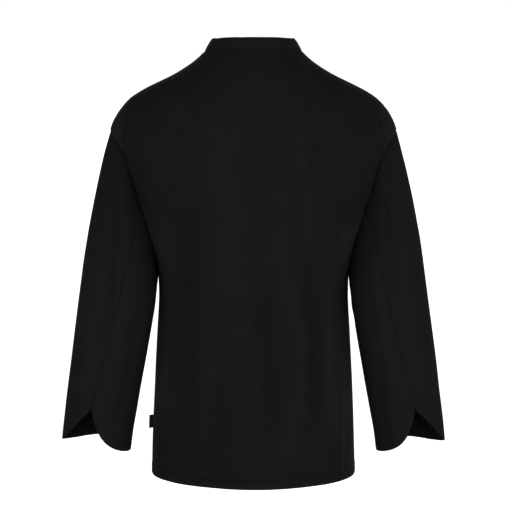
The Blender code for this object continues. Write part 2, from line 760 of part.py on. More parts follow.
def add_tab():
    """The small folded tab that sticks out of the left side seam."""
    points = []
    for down in (0.0, 1.0):
        height = np.array(TAB_TOP - TAB_HEIGHT * down)
        root = torso(turn_of((*SIDE_LEFT[0][:2], float(height))), height)
        for x, y in TAB_OUTLINE:
            out = SEAM_GAP + x * (TAB_REACH + TAB_DROOP * down)
            points.append(root + (out, y * TAB_THICKNESS, 0))
    sides = len(TAB_OUTLINE)
    faces = [tuple(range(sides)), tuple(reversed(range(sides, 2 * sides)))]
    faces += [(k, k + sides, (k + 1) % sides + sides, (k + 1) % sides) for k in range(sides)]
    piece("side_tab", points, faces, "tab")


def add_front(name, lines, past, arm_planes, neck_planes):
    """One front, from its side seam past the middle to its free edge."""
    side, arm, shoulder, neck = lines
    on_left = side[0, 0] > 0
    left = chain(side, arm, shoulder)
    neck_past = line(past, LAP_FACES)
    neck_past[0] = neck[-1]
    top = chain(neck, neck_past)
    right = lap_line(-1 if on_left else 1, neck_past, len(left) - 1)
    right[-1] = top[-1]
    start, end = float(turn_of(left[0])), float(turn_of(right[0]))
    if not on_left:
        start -= 2 * math.pi
    bottom = hem_line(start, end, len(top) - 1)
    bottom[0], bottom[-1] = left[0], right[0]
    points, normals = torso_grid(bottom, top, left, right, at_height=True)
    if on_left:
        points = points + normals * lap_lift(points)[..., None]
    edges = {
        "bottom": loose(len(bottom) - 1),
        "top": np.concatenate([joint(neck_planes), loose(LAP_FACES)]),
        "left": np.concatenate([seam(SIDE_FACES), joint(arm_planes), seam(len(shoulder) - 1)]),
        "right": loose(len(left) - 1),
    }
    slab(name, *wall_grids(points, normals, WALL, edges), "twill")


def build():
    """Remove what the scene holds and make every piece."""
    for old in list(bpy.data.objects):
        bpy.data.objects.remove(old)

    # Seam lines
    side_left, side_right = line(SIDE_LEFT, SIDE_FACES), line(SIDE_RIGHT, SIDE_FACES)
    shoulder_inner = line(SHOULDER_INNER, SHOULDER_INNER_FACES)
    shoulder_outer = line(SHOULDER_OUTER, SHOULDER_OUTER_FACES)
    inset_line = line(INSET_LINE, ARMHOLE_UPPER_FACES)
    armhole_upper = line(ARMHOLE_UPPER, ARMHOLE_UPPER_FACES)
    armhole_lower = line(ARMHOLE_LOWER, ARMHOLE_LOWER_FACES)
    armhole_front = line(ARMHOLE_FRONT, ARMHOLE_FRONT_FACES)
    neck_back_half = line(NECK_BACK, NECK_BACK_FACES // 2)
    neck_back = chain(neck_back_half, mirrored(neck_back_half)[::-1])
    neck_front = line(NECK_FRONT, NECK_FRONT_FACES)[::-1]

    # Sleeves
    armhole = armhole_loop()
    rings, leave = sleeve_rings(armhole, 1)
    around = np.roll(rings, -1, axis=0) - np.roll(rings, 1, axis=0)
    first_normals = unit(np.cross(np.gradient(rings, axis=1), around))[:, 0]
    torso_normals = onto_torso(armhole)[1]
    underarm = ARMHOLE_UPPER_FACES + ARMHOLE_LOWER_FACES
    to_torso = armhole - armhole.mean(axis=0) + TORSO_INSIDE
    sleeve_planes = mitre(armhole, True, torso_normals, first_normals, leave, to_torso)
    add_sleeve("left", rings, sleeve_planes)
    add_sleeve("right", sleeve_rings(armhole, 2)[0], sleeve_planes)
    upper_planes = sleeve_planes[: ARMHOLE_UPPER_FACES + 1][::-1]
    lower_planes = sleeve_planes[ARMHOLE_UPPER_FACES : underarm + 1][::-1]
    front_planes = np.concatenate([sleeve_planes[underarm:], sleeve_planes[:1]])

    # Collar
    left_neck, left_normals = onto_torso(neck_front)
    left_neck = left_neck + left_normals * lap_lift(left_neck)[:, None]
    base = chain(left_neck[::-1], neck_back, mirrored(neck_front))
    base_normals = onto_torso(chain(neck_front[::-1], neck_back, mirrored(neck_front)))[1]
    neck_planes = add_collar(base, base_normals)
    left_planes = neck_planes[: NECK_FRONT_FACES + 1][::-1]
    back_planes = neck_planes[NECK_FRONT_FACES : NECK_FRONT_FACES + NECK_BACK_FACES + 1]
    right_planes = neck_planes[NECK_FRONT_FACES + NECK_BACK_FACES :]

    # Back panel
    above = (inset_line, shoulder_inner[::-1])
    left = chain(side_left, armhole_lower, *above)
    right = chain(side_right, *map(mirrored, (armhole_lower, *above)))
    ends = [float(turn_of(edge[0])) for edge in (left, right)]
    bottom = hem_line(*ends, NECK_BACK_FACES)
    bottom[0], bottom[-1] = left[0], right[0]
    seams_above = seam(ARMHOLE_UPPER_FACES + SHOULDER_INNER_FACES)
    edges = {
        "bottom": loose(NECK_BACK_FACES),
        "top": joint(back_planes),
        "left": np.concatenate([seam(SIDE_FACES), joint(lower_planes), seams_above]),
        "right": np.concatenate([seam(SIDE_FACES), joint(mirrored(lower_planes)), seams_above]),
    }
    points, normals = torso_grid(bottom, neck_back, left, right, at_height=False)
    slab("back_panel", *wall_grids(points, normals, WALL, edges), "mesh_knit")

    # Shoulder insets, each running to a point at the back of the armhole
    bottom = np.repeat(inset_line[:1], SHOULDER_OUTER_FACES + 1, axis=0)
    points, normals = torso_grid(bottom, shoulder_outer, inset_line, armhole_upper, at_height=False)
    edges = {
        "bottom": seam(SHOULDER_OUTER_FACES),
        "top": seam(SHOULDER_OUTER_FACES),
        "left": seam(ARMHOLE_UPPER_FACES),
        "right": joint(upper_planes),
    }
    outer, inner = wall_grids(points, normals, WALL, edges)
    slab("shoulder_inset_left", outer, inner, "twill")
    slab("shoulder_inset_right", mirrored(outer), mirrored(inner), "twill")

    # Fronts, the left one over the right one
    shoulder = chain(shoulder_outer[::-1], shoulder_inner[::-1])
    left_lines = (side_left, armhole_front, shoulder, neck_front)
    right_lines = (side_right, *map(mirrored, (armhole_front, shoulder, neck_front)))
    add_front("front_left", left_lines, NECK_OVER, front_planes, left_planes)
    add_front("front_right", right_lines, NECK_UNDER, mirrored(front_planes), right_planes)

    # Buttons and tab
    for row in range(BUTTON_ROWS):
        height = BUTTON_TOP - BUTTON_PITCH * row
        reach = float(lap_edge(height)) - BUTTON_INSET
        add_button(f"button_left_{row + 1}", reach, height)
        add_button(f"button_right_{row + 1}", -reach, height)
    add_tab()


build()
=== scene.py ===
"""The looks of a men's chef jacket: its cloth, sewing, buttons, and the stage it is shown on.

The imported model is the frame. Each cloth panel is a copy of its solid's mesh with finer faces, soft
folds, rolled seams and rounded edges, and the sewing lies on those panels. Sizes in the tables are
in millimetres. +X is the wearer's left, +Y the wearer's back and +Z up.
"""

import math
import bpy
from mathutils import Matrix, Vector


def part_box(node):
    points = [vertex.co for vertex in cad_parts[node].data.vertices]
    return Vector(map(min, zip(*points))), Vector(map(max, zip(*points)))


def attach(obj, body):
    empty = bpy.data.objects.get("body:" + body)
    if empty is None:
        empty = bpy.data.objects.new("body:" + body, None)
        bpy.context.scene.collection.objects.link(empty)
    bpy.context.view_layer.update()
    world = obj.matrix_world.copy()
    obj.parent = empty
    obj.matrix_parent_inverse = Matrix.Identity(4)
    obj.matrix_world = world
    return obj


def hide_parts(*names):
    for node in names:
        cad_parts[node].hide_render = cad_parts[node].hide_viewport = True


bl_info = {
    "name": "Chef jacket",
    "version": (1, 0, 0),
    "blender": (4, 5, 0),
    "location": "3D View > Sidebar > Jacket",
    "description": "Dresses the solids of a chef jacket with cloth, sewing and buttons",
    "category": "Object",
}

from functools import lru_cache

import bmesh
import bpy
import numpy as np
from mathutils import Matrix, Vector
from mathutils.bvhtree import BVHTree
from mathutils.kdtree import KDTree
from mathutils.noise import noise as noise_at

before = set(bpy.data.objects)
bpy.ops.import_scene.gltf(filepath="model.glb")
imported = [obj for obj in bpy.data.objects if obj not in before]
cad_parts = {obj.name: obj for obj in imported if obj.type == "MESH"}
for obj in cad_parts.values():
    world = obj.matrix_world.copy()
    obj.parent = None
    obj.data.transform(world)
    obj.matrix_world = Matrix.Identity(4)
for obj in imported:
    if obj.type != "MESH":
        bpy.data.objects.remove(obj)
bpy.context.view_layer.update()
MM = 0.001

# The cloth panels: node, material slot, the size of the flat piece (width, length). The collar is
# a curved band, and its size is that of the band laid straight.
PANELS = {
    "back_panel": ("mesh_knit", (0.505, 0.805)),
    "shoulder_inset_left": ("twill", (0.080, 0.125)),
    "shoulder_inset_right": ("twill", (0.080, 0.125)),
    "front_left": ("twill", (0.360, 0.775)),
    "front_right": ("twill", (0.415, 0.775)),
    "sleeve_outer_left": ("twill", (0.270, 0.565)),
    "sleeve_outer_right": ("twill", (0.270, 0.565)),
    "sleeve_under_left": ("twill", (0.190, 0.440)),
    "sleeve_under_right": ("twill", (0.190, 0.440)),
    "collar": ("twill", (0.420, 0.032)),
}
SLEEVES = tuple(node for node in PANELS if "sleeve" in node)
TORSO = tuple(node for node in PANELS if node not in (*SLEEVES, "collar"))
HEMMED = ("back_panel", "front_left", "front_right")
SIDES = {"left": 1, "right": -1}

# Soft folds of the torso: 1 on the back or -1 on the front, half width, rise (a trough is
# negative), and x and height of the points that it runs through from the top down.
BODY_FOLDS = (
    (1, 15.0, 2.6, ((-45, -330), (-67, -413), (-83, -476), (-80, -555), (-68, -641), (-51, -700))),
    (1, 10.0, 2.2, ((-114, -350), (-130, -442), (-133, -498), (-136, -572), (-153, -680))),
    (1, 11.0, -2.2, ((-88, -360), (-101, -440), (-107, -520), (-108, -620))),
    (1, 19.0, -2.6, ((-22, -370), (-25, -440), (-30, -520), (-34, -640))),
    (1, 11.0, 1.6, ((-76, -110), (-84, -180), (-90, -244), (-96, -345))),
    (1, 7.0, -1.1, ((-70, -200), (-71, -260), (-73, -320))),
    (1, 9.0, 1.5, ((-124, -140), (-125, -200), (-127, -280))),
    (1, 7.0, -1.3, ((-107, -150), (-109, -220), (-111, -290))),
    (1, 10.0, 1.2, ((-48, -220), (-50, -300), (-49, -370))),
    (1, 34.0, 2.4, ((62, -110), (50, -220), (44, -320), (50, -420))),
    (1, 14.0, -1.0, ((8, -160), (6, -260), (4, -360))),
    (1, 26.0, -1.8, ((112, -260), (120, -380), (124, -500), (118, -640))),
    (1, 22.0, 1.5, ((84, -420), (88, -520), (84, -640))),
    (1, 18.0, -1.6, ((60, -560), (66, -640), (72, -710))),
    (1, 58.0, -1.2, ((78, -600), (78, -670), (78, -760))),
    (1, 9.0, -1.2, ((-148, -240), (-150, -330), (-152, -430))),
    (-1, 16.0, 2.6, ((96, -300), (104, -420), (112, -560), (118, -690))),
    (-1, 11.0, -2.2, ((128, -360), (134, -470), (138, -600))),
    (-1, 15.0, -1.8, ((66, -330), (62, -450), (56, -600), (50, -700))),
    (-1, 12.0, 2.0, ((20, -420), (24, -540), (30, -690))),
    (-1, 16.0, 2.2, ((-100, -310), (-112, -430), (-120, -570), (-124, -690))),
    (-1, 12.0, -1.9, ((-132, -380), (-140, -500), (-146, -640))),
    (-1, 13.0, -1.6, ((-40, -440), (-36, -560), (-30, -690))),
    (-1, 20.0, 1.8, ((118, -140), (122, -220), (120, -310))),
    (-1, 18.0, -1.4, ((-96, -130), (-104, -210), (-108, -300))),
)
# Soft folds of each sleeve: side (1 left, -1 right), half width in degrees, rise, and angle round
# the sleeve (0 outside, 90 at the back) and height of the points that it runs through.
SLEEVE_FOLDS = (
    (1, 9.0, -2.2, ((74, -250), (78, -330), (80, -400), (78, -480))),
    (1, 12.0, 1.4, ((48, -250), (50, -340), (52, -470), (50, -600))),
    (1, 9.0, 1.2, ((104, -300), (106, -400), (108, -520))),
    (1, 8.0, -1.4, ((132, -420), (134, -520), (130, -640))),
    (1, 10.0, -1.2, ((28, -520), (34, -580), (40, -640))),
    (-1, 10.0, 1.4, ((66, -250), (62, -330), (60, -430), (62, -560))),
    (-1, 8.0, -1.3, ((84, -240), (86, -320), (84, -420))),
    (-1, 9.0, 1.1, ((112, -330), (114, -440), (112, -560))),
    (-1, 9.0, -1.3, ((138, -560), (140, -620), (136, -690))),
    (1, 14.0, -2.0, ((-70, -300), (-84, -380), (-92, -440))),
    (1, 11.0, 1.6, ((-48, -320), (-60, -420), (-62, -540))),
    (1, 10.0, -1.6, ((-110, -420), (-104, -500), (-100, -600))),
    (-1, 13.0, -2.1, ((-64, -310), (-80, -400), (-90, -470))),
    (-1, 12.0, 1.5, ((-44, -300), (-54, -410), (-60, -560))),
    (-1, 10.0, -1.5, ((-112, -440), (-108, -530), (-104, -620))),
    (1, 26.0, 0.8, ((180, -290), (180, -450), (180, -640))),
    (-1, 30.0, 1.0, ((170, -290), (170, -450), (170, -640))),
)
# The middle line of the left sleeve, from the cuff up: height, x, y.
SLEEVE_AXIS = (
    (-698.0, 278.0, 14.5),
    (-590.0, 262.7, 26.0),
    (-475.0, 244.5, 34.0),
    (-391.0, 231.5, 32.0),
    (-140.0, 214.0, 12.0),
)
# The height over which a fold ends, how far from a held edge the cloth is calm, how far from the
# body's middle the folds are full, and how much less they push sideways than out.
FOLD_END = 55.0
FOLD_CALM = 28.0
FOLD_FULL = 40.0
SIDEWAYS = 0.6
# Slow unevenness of hanging cloth: depth, and how long a wave is across and along the body.
RIPPLES = ((0.8, 46.0, 190.0), (0.35, 17.0, 70.0))

# The torso's edge is a hem below this height. The hem's step, and how its very edge rounds off.
HEM_BELOW = -735.0
HEM_STEP = 2.0
HEM_EDGE = 1.5
HEM_LEDGE = 1.2

# Painted light on the body's sides, where the sleeves shade them: how raised it looks as a fold's
# rise, how far out it starts, over what width it grows, and its lowest and highest point.
SIDE_PAINTED_LIGHT = 24.0
SIDE_LIGHT_FROM = 98.0
SIDE_LIGHT_OVER = 80.0
SIDE_LIGHT_HEIGHTS = (-690.0, -270.0)
# Painted light beside the lower armhole, where the crease between sleeve and body is in shade: how
# raised it looks, how far it reaches, the height below which it is full, and the height where it has
# gone.
ARMPIT_PAINTED_LIGHT = (20.0, 15.0, -320.0, -200.0)
# The raised stretch of the right side seam: its lowest point and the height over which it grows,
# its highest point and the height over which it fades, how far in from the seam it is highest, half
# width and rise. Then the painted highlight on it, as a fold's rise, and the height below which that
# seam runs.
SIDE_RIDGE = (-731.0, 12.0, -560.0, 110.0, 2.6, 1.3, 1.3)
RIDGE_PAINTED_HIGHLIGHT = 22.0
SIDE_SEAM_BELOW = -300.0
# Painted shade: how much darker the sleeves' cloth is made than the shoulders', as a fold's rise.
SLEEVE_PAINTED_SHADE = -2.0

# How panels are refined: merging and joining the solids' triangles, telling sides apart.
MERGE = 1e-6
GRID_PULL = 1.4
JOIN_ANGLE = math.radians(40)
SHARP_ANGLE = math.radians(30)
SHADE_ANGLE = math.radians(50)
OUTSIDE, INSIDE, RIM = 0, 1, 2
# Seams: how near panels meet, how sharp a corner stays one, how far each panel reaches under the
# next, how far a sleeve rounds over, and the armhole's depth (heights where it is least and full,
# and its least share).
NEAR = 2.6e-3
CORNER_ANGLE = math.radians(40)
SEAM_OVERLAP = 0.15
SLEEVE_ROUNDING = 6.0e-3
ARMHOLE_FADE = (-300.0, -170.0, 0.35)
FIT_ROUNDS = 2
FIT_MOST = 0.4e-3
FINE_STEP = 0.0006
UNWRAP_MARGIN = 0.001

# Painted shade in the grooves of seams, on the cloth's inside and in the grooves of rows of
# stitches: how dark a seam is, its share at seams other than the armholes, how worn a seam looks,
# how dark the inside is, and half the width of a row and how dark it is.
SEAM_PAINTED_SHADE = 0.6
SEAM_PAINTED_SHARE = 0.45
SEAM_WORN = 0.3
INSIDE_PAINTED_SHADE = 0.3
ROW_HALF = 1.2
ROW_PAINTED_SHADE = 0.3
# What lightens the cloth, and what raises it in its bump, each by its share on a base.
TWILL_SHADE = {"base": 0.81, "uneven": 0.16, "grain": 0.10, "line": 0.25, "worn": 0.10}
TWILL_HEIGHT = {"base": 0.0, "line": 1.0, "yarn": 0.45, "grain": 1.2, "hem": 2.5}
KNIT_SHADE = {"base": 0.42, "uneven": 0.26, "grain": 0.60}
KNIT_HEIGHT = {"base": 0.0, "solid": 1.0, "loops": 0.3, "grain": 0.8, "hem": 1.1}
# The twill's slant and how much closer its cross yarns lie. The knit's rows against its columns,
# its loops against its holes, how oval a hole is, and where a hole ends and the cloth is whole.
TWILL_SLANT = 0.62
TWILL_YARN = 0.55
KNIT_ROW = 0.86
KNIT_LOOP = 0.25
KNIT_OVAL = 0.6
KNIT_HOLE = (0.12, 0.30)

# How sewing is laid on the cloth: how far it is looked for, how far a stitch stands out, and the
# angle from one measured place round a sleeve to the next.
LAY_REACH = 0.012
SLEEVE_REACH = 0.12
STITCH_STAND = 0.25
RING_STEP = 4.0
# The cuff facings' rows of stitches: part of the sleeve, height at its outer and at its back
# line, first and last angle round it.
CUFF_ROWS = {"outer": (-604.0, -595.0, -80.0, 92.0), "under": (-633.0, -626.0, 102.0, 236.0)}

# A button's turned side: share of its radius, height.
BUTTON_SIDE = (
    (0.80, 0.0),
    (0.94, 0.35),
    (0.99, 0.9),
    (1.0, 1.5),
    (0.985, 2.2),
    (0.94, 2.7),
    (0.87, 2.95),
    (0.80, 2.85),
    (0.72, 2.4),
    (0.64, 2.1),
    (0.30, 2.0),
)
# How far each row of buttons, from the top down, is turned, in degrees.
BUTTON_TURNS = (12, -31, 5, 38, -16)
BUTTON_EDGE = 0.12
BUTTON_SHADE_ANGLE = math.radians(32)
HOLE_RADIUS = 0.95
HOLE_OFFSET = 1.75
STRAND = 0.75
STRAND_BASE = 1.2
STRAND_FLAT = 0.42
# A buttonhole: how far it reaches past the button's middle on each side, half the width of its
# sewn border, how far apart the stitches are, and the length of a side's and of a bar's stitches
# against that half width.
HOLE_REACH = (-4.0, 17.0)
HOLE_HALF = 0.85
HOLE_PITCH = 0.6
HOLE_SIDE = 1.9
HOLE_BAR = 4.2

# The side tab: how far its fold is rounded, how thick the tape is, how deep the gap between its
# layers goes, how far it reaches into the seam, how far its outer side hangs down and its lower end
# turns out, and its edges.
TAB_FOLD = 0.6
TAB_LAYER = 0.42
TAB_GROOVE = 5.0
TAB_SEWN_IN = 1.6
TAB_DROP = 1.0
TAB_FLARE = 0.8
TAB_EDGE = 0.08

# The lights: azimuth (0 behind the wearer, 90 at the wearer's left), elevation, and softness, all
# in degrees, and strength. Then where the camera stands and what it looks at, in metres.
LIGHTS = (
    ("back_left", 54, -3, 60, 1.78),
    ("back_middle", 0, -3, 40, 0.46),
    ("back_right", -54, -3, 60, 2.12),
    ("front_left", 160, 4, 90, 0.75),
    ("front_right", -160, 4, 90, 0.90),
)
CAMERA_EYE = (-0.0045, 3.0, 0.010)
CAMERA_AIM = (-0.0045, 0.0, -0.353)


class JacketCloth(bpy.types.PropertyGroup):
    """Sizes and colours of the cloth."""

    twill_color: bpy.props.FloatVectorProperty(
        name="Twill colour",
        description="Colour of the plain twill",
        default=(0.0133, 0.0133, 0.0133),
        subtype="COLOR",
        min=0,
        max=1,
    )
    knit_color: bpy.props.FloatVectorProperty(
        name="Knit colour",
        description="Colour of the mesh knit back",
        default=(0.0150, 0.0150, 0.0150),
        subtype="COLOR",
        min=0,
        max=1,
    )
    twill_pitch: bpy.props.FloatProperty(
        name="Twill pitch",
        description="Distance from one twill line to the next",
        default=0.0009,
        unit="LENGTH",
    )
    knit_pitch: bpy.props.FloatProperty(
        name="Knit pitch",
        description="Distance from one hole of the mesh knit to the next",
        default=0.0026,
        unit="LENGTH",
    )
    roll: bpy.props.FloatProperty(
        name="Rolled edge",
        description="How far in from a seam or an edge the cloth begins to roll over",
        default=0.0013,
        unit="LENGTH",
    )
    roll_run: bpy.props.FloatProperty(
        name="Seam run",
        description="How far in from a seam the cloth lies flat again",
        default=0.0036,
        unit="LENGTH",
    )
    armhole_sink: bpy.props.FloatVectorProperty(
        name="Armhole seam depth",
        description="How deep the left and the right armhole seam lie",
        default=(0.0030, 0.0018),
        size=2,
        unit="LENGTH",
    )
    seam_sink: bpy.props.FloatProperty(
        name="Seam depth",
        description="How deep the other seams lie",
        default=0.0006,
        unit="LENGTH",
    )
    edge_sink: bpy.props.FloatProperty(
        name="Edge rounding",
        description="How far folded edges are rounded",
        default=0.0004,
        unit="LENGTH",
    )
    fold_depth: bpy.props.FloatProperty(
        name="Fold depth", description="How deep the soft folds are, times their rise", default=1.5
    )
    # Painted light and shade on folds: each millimetre of noted rise lightens the cloth, and a trough
    # darkens it.
    fold_painted_shade: bpy.props.FloatProperty(
        name="Fold shade",
        description="How much lighter the cloth is for each millimetre that a fold lifts it",
        default=0.035,
    )
    levels: bpy.props.IntProperty(
        name="Fineness",
        description="How many times each face of a panel is divided",
        default=2,
        min=1,
        max=3,
    )


class JacketSewing(bpy.types.PropertyGroup):
    """Sizes of the stitches."""

    stitch: bpy.props.FloatProperty(
        name="Stitch", description="Length of a stitch", default=0.0025, unit="LENGTH"
    )
    pitch: bpy.props.FloatProperty(
        name="Stitch pitch",
        description="Distance from one stitch to the next",
        default=0.0031,
        unit="LENGTH",
    )
    thread: bpy.props.FloatProperty(
        name="Thread", description="Thickness of the thread", default=0.00055, unit="LENGTH"
    )
    hem: bpy.props.FloatProperty(
        name="Hem", description="Height of the folded hem", default=0.015, unit="LENGTH"
    )
    hem_rise: bpy.props.FloatProperty(
        name="Hem rise",
        description="How far the folded hem stands out",
        default=0.0004,
        unit="LENGTH",
    )
    hem_rows: bpy.props.FloatVectorProperty(
        name="Hem rows",
        description="How far above the hem's edge its two rows of stitches run",
        default=(0.0135, 0.0165),
        size=2,
        unit="LENGTH",
    )
    edge: bpy.props.FloatProperty(
        name="Edge stitching",
        description="How far from an edge its stitching runs",
        default=0.005,
        unit="LENGTH",
    )


class JacketStage(bpy.types.PropertyGroup):
    """Sizes and light of the stage."""

    floor_height: bpy.props.FloatProperty(
        name="Floor height",
        description="Height of the floor, at the wearer's feet",
        default=-1.48,
        unit="LENGTH",
    )
    floor_radius: bpy.props.FloatProperty(
        name="Floor radius", description="Radius of the floor", default=42.0, unit="LENGTH"
    )
    floor_color: bpy.props.FloatVectorProperty(
        name="Floor colour",
        description="Colour of the floor",
        default=(0.93, 0.93, 0.93),
        subtype="COLOR",
        min=0,
        max=1,
    )
    light: bpy.props.FloatProperty(
        name="Light", description="Strength of all the lights", default=0.92
    )
    air: bpy.props.FloatProperty(
        name="Even light", description="Strength of the light from all round", default=0.15
    )
    lens: bpy.props.FloatProperty(
        name="Lens", description="Focal length of the camera in millimetres", default=121.4
    )


# Helpers


def smooth_line(keys, values):
    """A function that runs smoothly through the values at the rising keys."""
    slopes = np.gradient(values, keys)

    def value(at):
        at = np.clip(at, keys[0], keys[-1])
        i = np.clip(np.searchsorted(keys, at, side="right") - 1, 0, len(keys) - 2)
        step = keys[i + 1] - keys[i]
        t = (at - keys[i]) / step
        bend = slopes[i] * step * t * (1 - t) ** 2 - slopes[i + 1] * step * t * t * (1 - t)
        return values[i] + (values[i + 1] - values[i]) * t * t * (3 - 2 * t) + bend

    return value


def ease(t):
    """A soft step from 0 to 1."""
    t = np.clip(t, 0, 1)
    return t * t * (3 - 2 * t)


def unit(vectors):
    """The vectors with a length of 1."""
    return vectors / np.maximum(np.linalg.norm(vectors, axis=-1, keepdims=True), 1e-12)


def read(items, name, width=1, kind=float):
    """One value of each item in a mesh's list, as an array."""
    values = np.empty(len(items) * width, kind)
    items.foreach_get(name, values)
    return values.reshape(-1, width) if width > 1 else values


def mesh_points(mesh):
    """A mesh's points as an array."""
    return read(mesh.vertices, "co", 3)


def set_points(mesh, points):
    """Give a mesh new places for its points."""
    mesh.vertices.foreach_set("co", np.ascontiguousarray(points, float).ravel())
    mesh.update()


def note(obj, name, values):
    """Keep a number at each point of a piece."""
    layer = obj.data.attributes.new(name, "FLOAT", "POINT")
    layer.data.foreach_set("value", np.ascontiguousarray(values, np.float32))


def search_tree(points):
    """A search tree of points."""
    tree = KDTree(len(points))
    for k, point in enumerate(points):
        tree.insert(point, k)
    tree.balance()
    return tree


def distance_to(points, tree):
    """How far each point is from the nearest one in a tree."""
    return np.array([tree.find(point)[2] for point in points])


def select_only(obj):
    """Make an object the only selected one, and the active one."""
    bpy.ops.object.select_all(action="DESELECT")
    obj.select_set(True)
    bpy.context.view_layer.objects.active = obj


def new_object(name, mesh):
    """An object of a mesh in the scene, selected."""
    obj = bpy.data.objects.new(name, mesh)
    bpy.context.scene.collection.objects.link(obj)
    select_only(obj)
    return obj


def joined(pieces):
    """Pieces joined into one object."""
    bpy.ops.object.select_all(action="DESELECT")
    for piece in pieces:
        piece.select_set(True)
    bpy.context.view_layer.objects.active = pieces[-1]
    bpy.ops.object.join()
    return bpy.context.object


def edit_all():
    """Go into edit mode with all of the active object selected."""
    bpy.ops.object.mode_set(mode="EDIT")
    bpy.ops.mesh.select_all(action="SELECT")


def finish_piece(obj, material, slot, *nodes):
    """Give a finished piece its material, hang it on the root body and hide the solids that it
    replaces.
    """
    obj.data.materials.clear()
    obj.data.materials.append(material)
    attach(obj, "root")
    if nodes:
        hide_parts(*nodes)


# Materials


class Look:
    """A new material and the nodes that work out its values."""

    def __init__(self, name):
        self.material = bpy.data.materials.new(name)
        self.material.use_nodes = True
        self.tree = self.material.node_tree
        self.shader = self.tree.nodes["Principled BSDF"]

    def give(self, node, inputs):
        """Set a node's inputs to values, or link sockets to them."""
        for name, value in inputs.items():
            if isinstance(value, bpy.types.NodeSocket):
                self.tree.links.new(value, node.inputs[name])
            else:
                node.inputs[name].default_value = value

    def node(self, kind, inputs, **settings):
        """The outputs of a new node."""
        node = self.tree.nodes.new(f"ShaderNode{kind}")
        for name, value in settings.items():
            setattr(node, name, value)
        self.give(node, inputs)
        return node.outputs

    def math(self, operation, *values):
        """The output of a Math node."""
        return self.node("Math", dict(enumerate(values)), operation=operation)[0]

    def scaled(self, value, share, base):
        """A value times a share, on a base."""
        return self.math("MULTIPLY_ADD", value, share, base)

    def mixed(self, shares, **values):
        """Values, each times its share, on a base."""
        total = shares["base"]
        for name, value in values.items():
            total = self.scaled(value, shares[name], total)
        return total

    def ridges(self, place, pitch):
        """Ridges a pitch apart, from 0 to a half."""
        return self.math("PINGPONG", self.math("DIVIDE", place, pitch), 0.5)

    def step(self, value, low, high, top=1.0):
        """A soft step from 0 at the low value to the top at the high one."""
        inputs = {"Value": value, "From Min": low, "From Max": high, "To Max": top}
        return self.node("MapRange", inputs, interpolation_type="SMOOTHSTEP")[0]

    def noise(self, place, size, detail):
        """The value of a noise whose spots have a size."""
        return self.node("TexNoise", {"Vector": place, "Scale": 1 / size, "Detail": detail})[0]

    def place(self):
        """The place on the piece."""
        return self.node("TexCoord", {})["Object"]

    def attribute(self, name):
        """A number that the piece carries at its points."""
        return self.node("Attribute", {}, attribute_name=name)["Fac"]

    def flat_place(self):
        """The flat place on the cloth in metres, and its parts across and along the grain."""
        flat = self.node("UVMap", {}, uv_map="flat")[0]
        across, along, _ = self.node("SeparateXYZ", {0: flat})
        return flat, across, along

    def shaped_shade(self, shade):
        """A shade with painted shade in seams, on the inside and in rows of stitches, and painted
        light and shade from the noted rise.
        """
        scene = bpy.context.scene
        fold_painted_shade = scene.jacket_cloth.fold_painted_shade
        # Painted shade in seams and on the inside; painted light on ridges and painted shade in
        # troughs by the noted rise.
        for name, change in (("seam", -SEAM_PAINTED_SHADE), ("inside", -INSIDE_PAINTED_SHADE), ("rise", fold_painted_shade)):
            change = self.scaled(self.attribute(name), change, 1.0)
            shade = self.math("MULTIPLY", shade, change)
        # Painted shade in the grooves of the rows of stitches at the hem and the cuff facing.
        rows = [("hem", reach) for reach in scene.jacket_sewing.hem_rows]
        for name, reach in [*rows, ("facing", 0.0)]:
            away = self.math("ABSOLUTE", self.math("SUBTRACT", self.attribute(name), reach))
            row = self.step(away, ROW_HALF * MM, 0.0, -ROW_PAINTED_SHADE)
            shade = self.scaled(shade, row, shade)
        return shade

    def hem_step(self):
        """1 on the folded hem and 0 above it."""
        hem = bpy.context.scene.jacket_sewing.hem
        return self.step(self.attribute("hem"), hem + HEM_LEDGE * MM, hem)

    def finish(self, color, shade, roughness, specular, height, depth, strength):
        """The material with its colour, gloss and bump."""
        tint = self.node("VectorMath", {0: color, "Scale": shade}, operation="SCALE")[0]
        bump = self.node("Bump", {"Height": height, "Distance": depth, "Strength": strength})[0]
        gloss = {"Roughness": roughness, "Specular IOR Level": specular}
        self.give(self.shader, {"Base Color": tint, "Normal": bump, **gloss})
        return self.material


@lru_cache(maxsize=None)
def twill_material():
    """Plain black twill: steep fine lines, a little unevenness and lint at the edges."""
    cloth = bpy.context.scene.jacket_cloth
    look = Look("black_twill")
    flat, across, along = look.flat_place()
    line = look.ridges(look.scaled(along, TWILL_SLANT, across), cloth.twill_pitch)
    yarn = look.ridges(look.scaled(along, -1.0, across), cloth.twill_pitch * TWILL_YARN)
    uneven = look.noise(look.place(), 0.045, 3.0)
    grain = look.noise(flat, 0.004, 2.0)
    worn = look.attribute("worn")
    shade = look.mixed(TWILL_SHADE, uneven=uneven, grain=grain, line=line, worn=worn)
    height = look.mixed(TWILL_HEIGHT, line=line, yarn=yarn, grain=grain, hem=look.hem_step())
    rough = look.scaled(uneven, 0.10, 0.78)
    shade = look.shaped_shade(shade)
    return look.finish(cloth.twill_color, shade, rough, 0.03, height, 0.00018, 0.5)


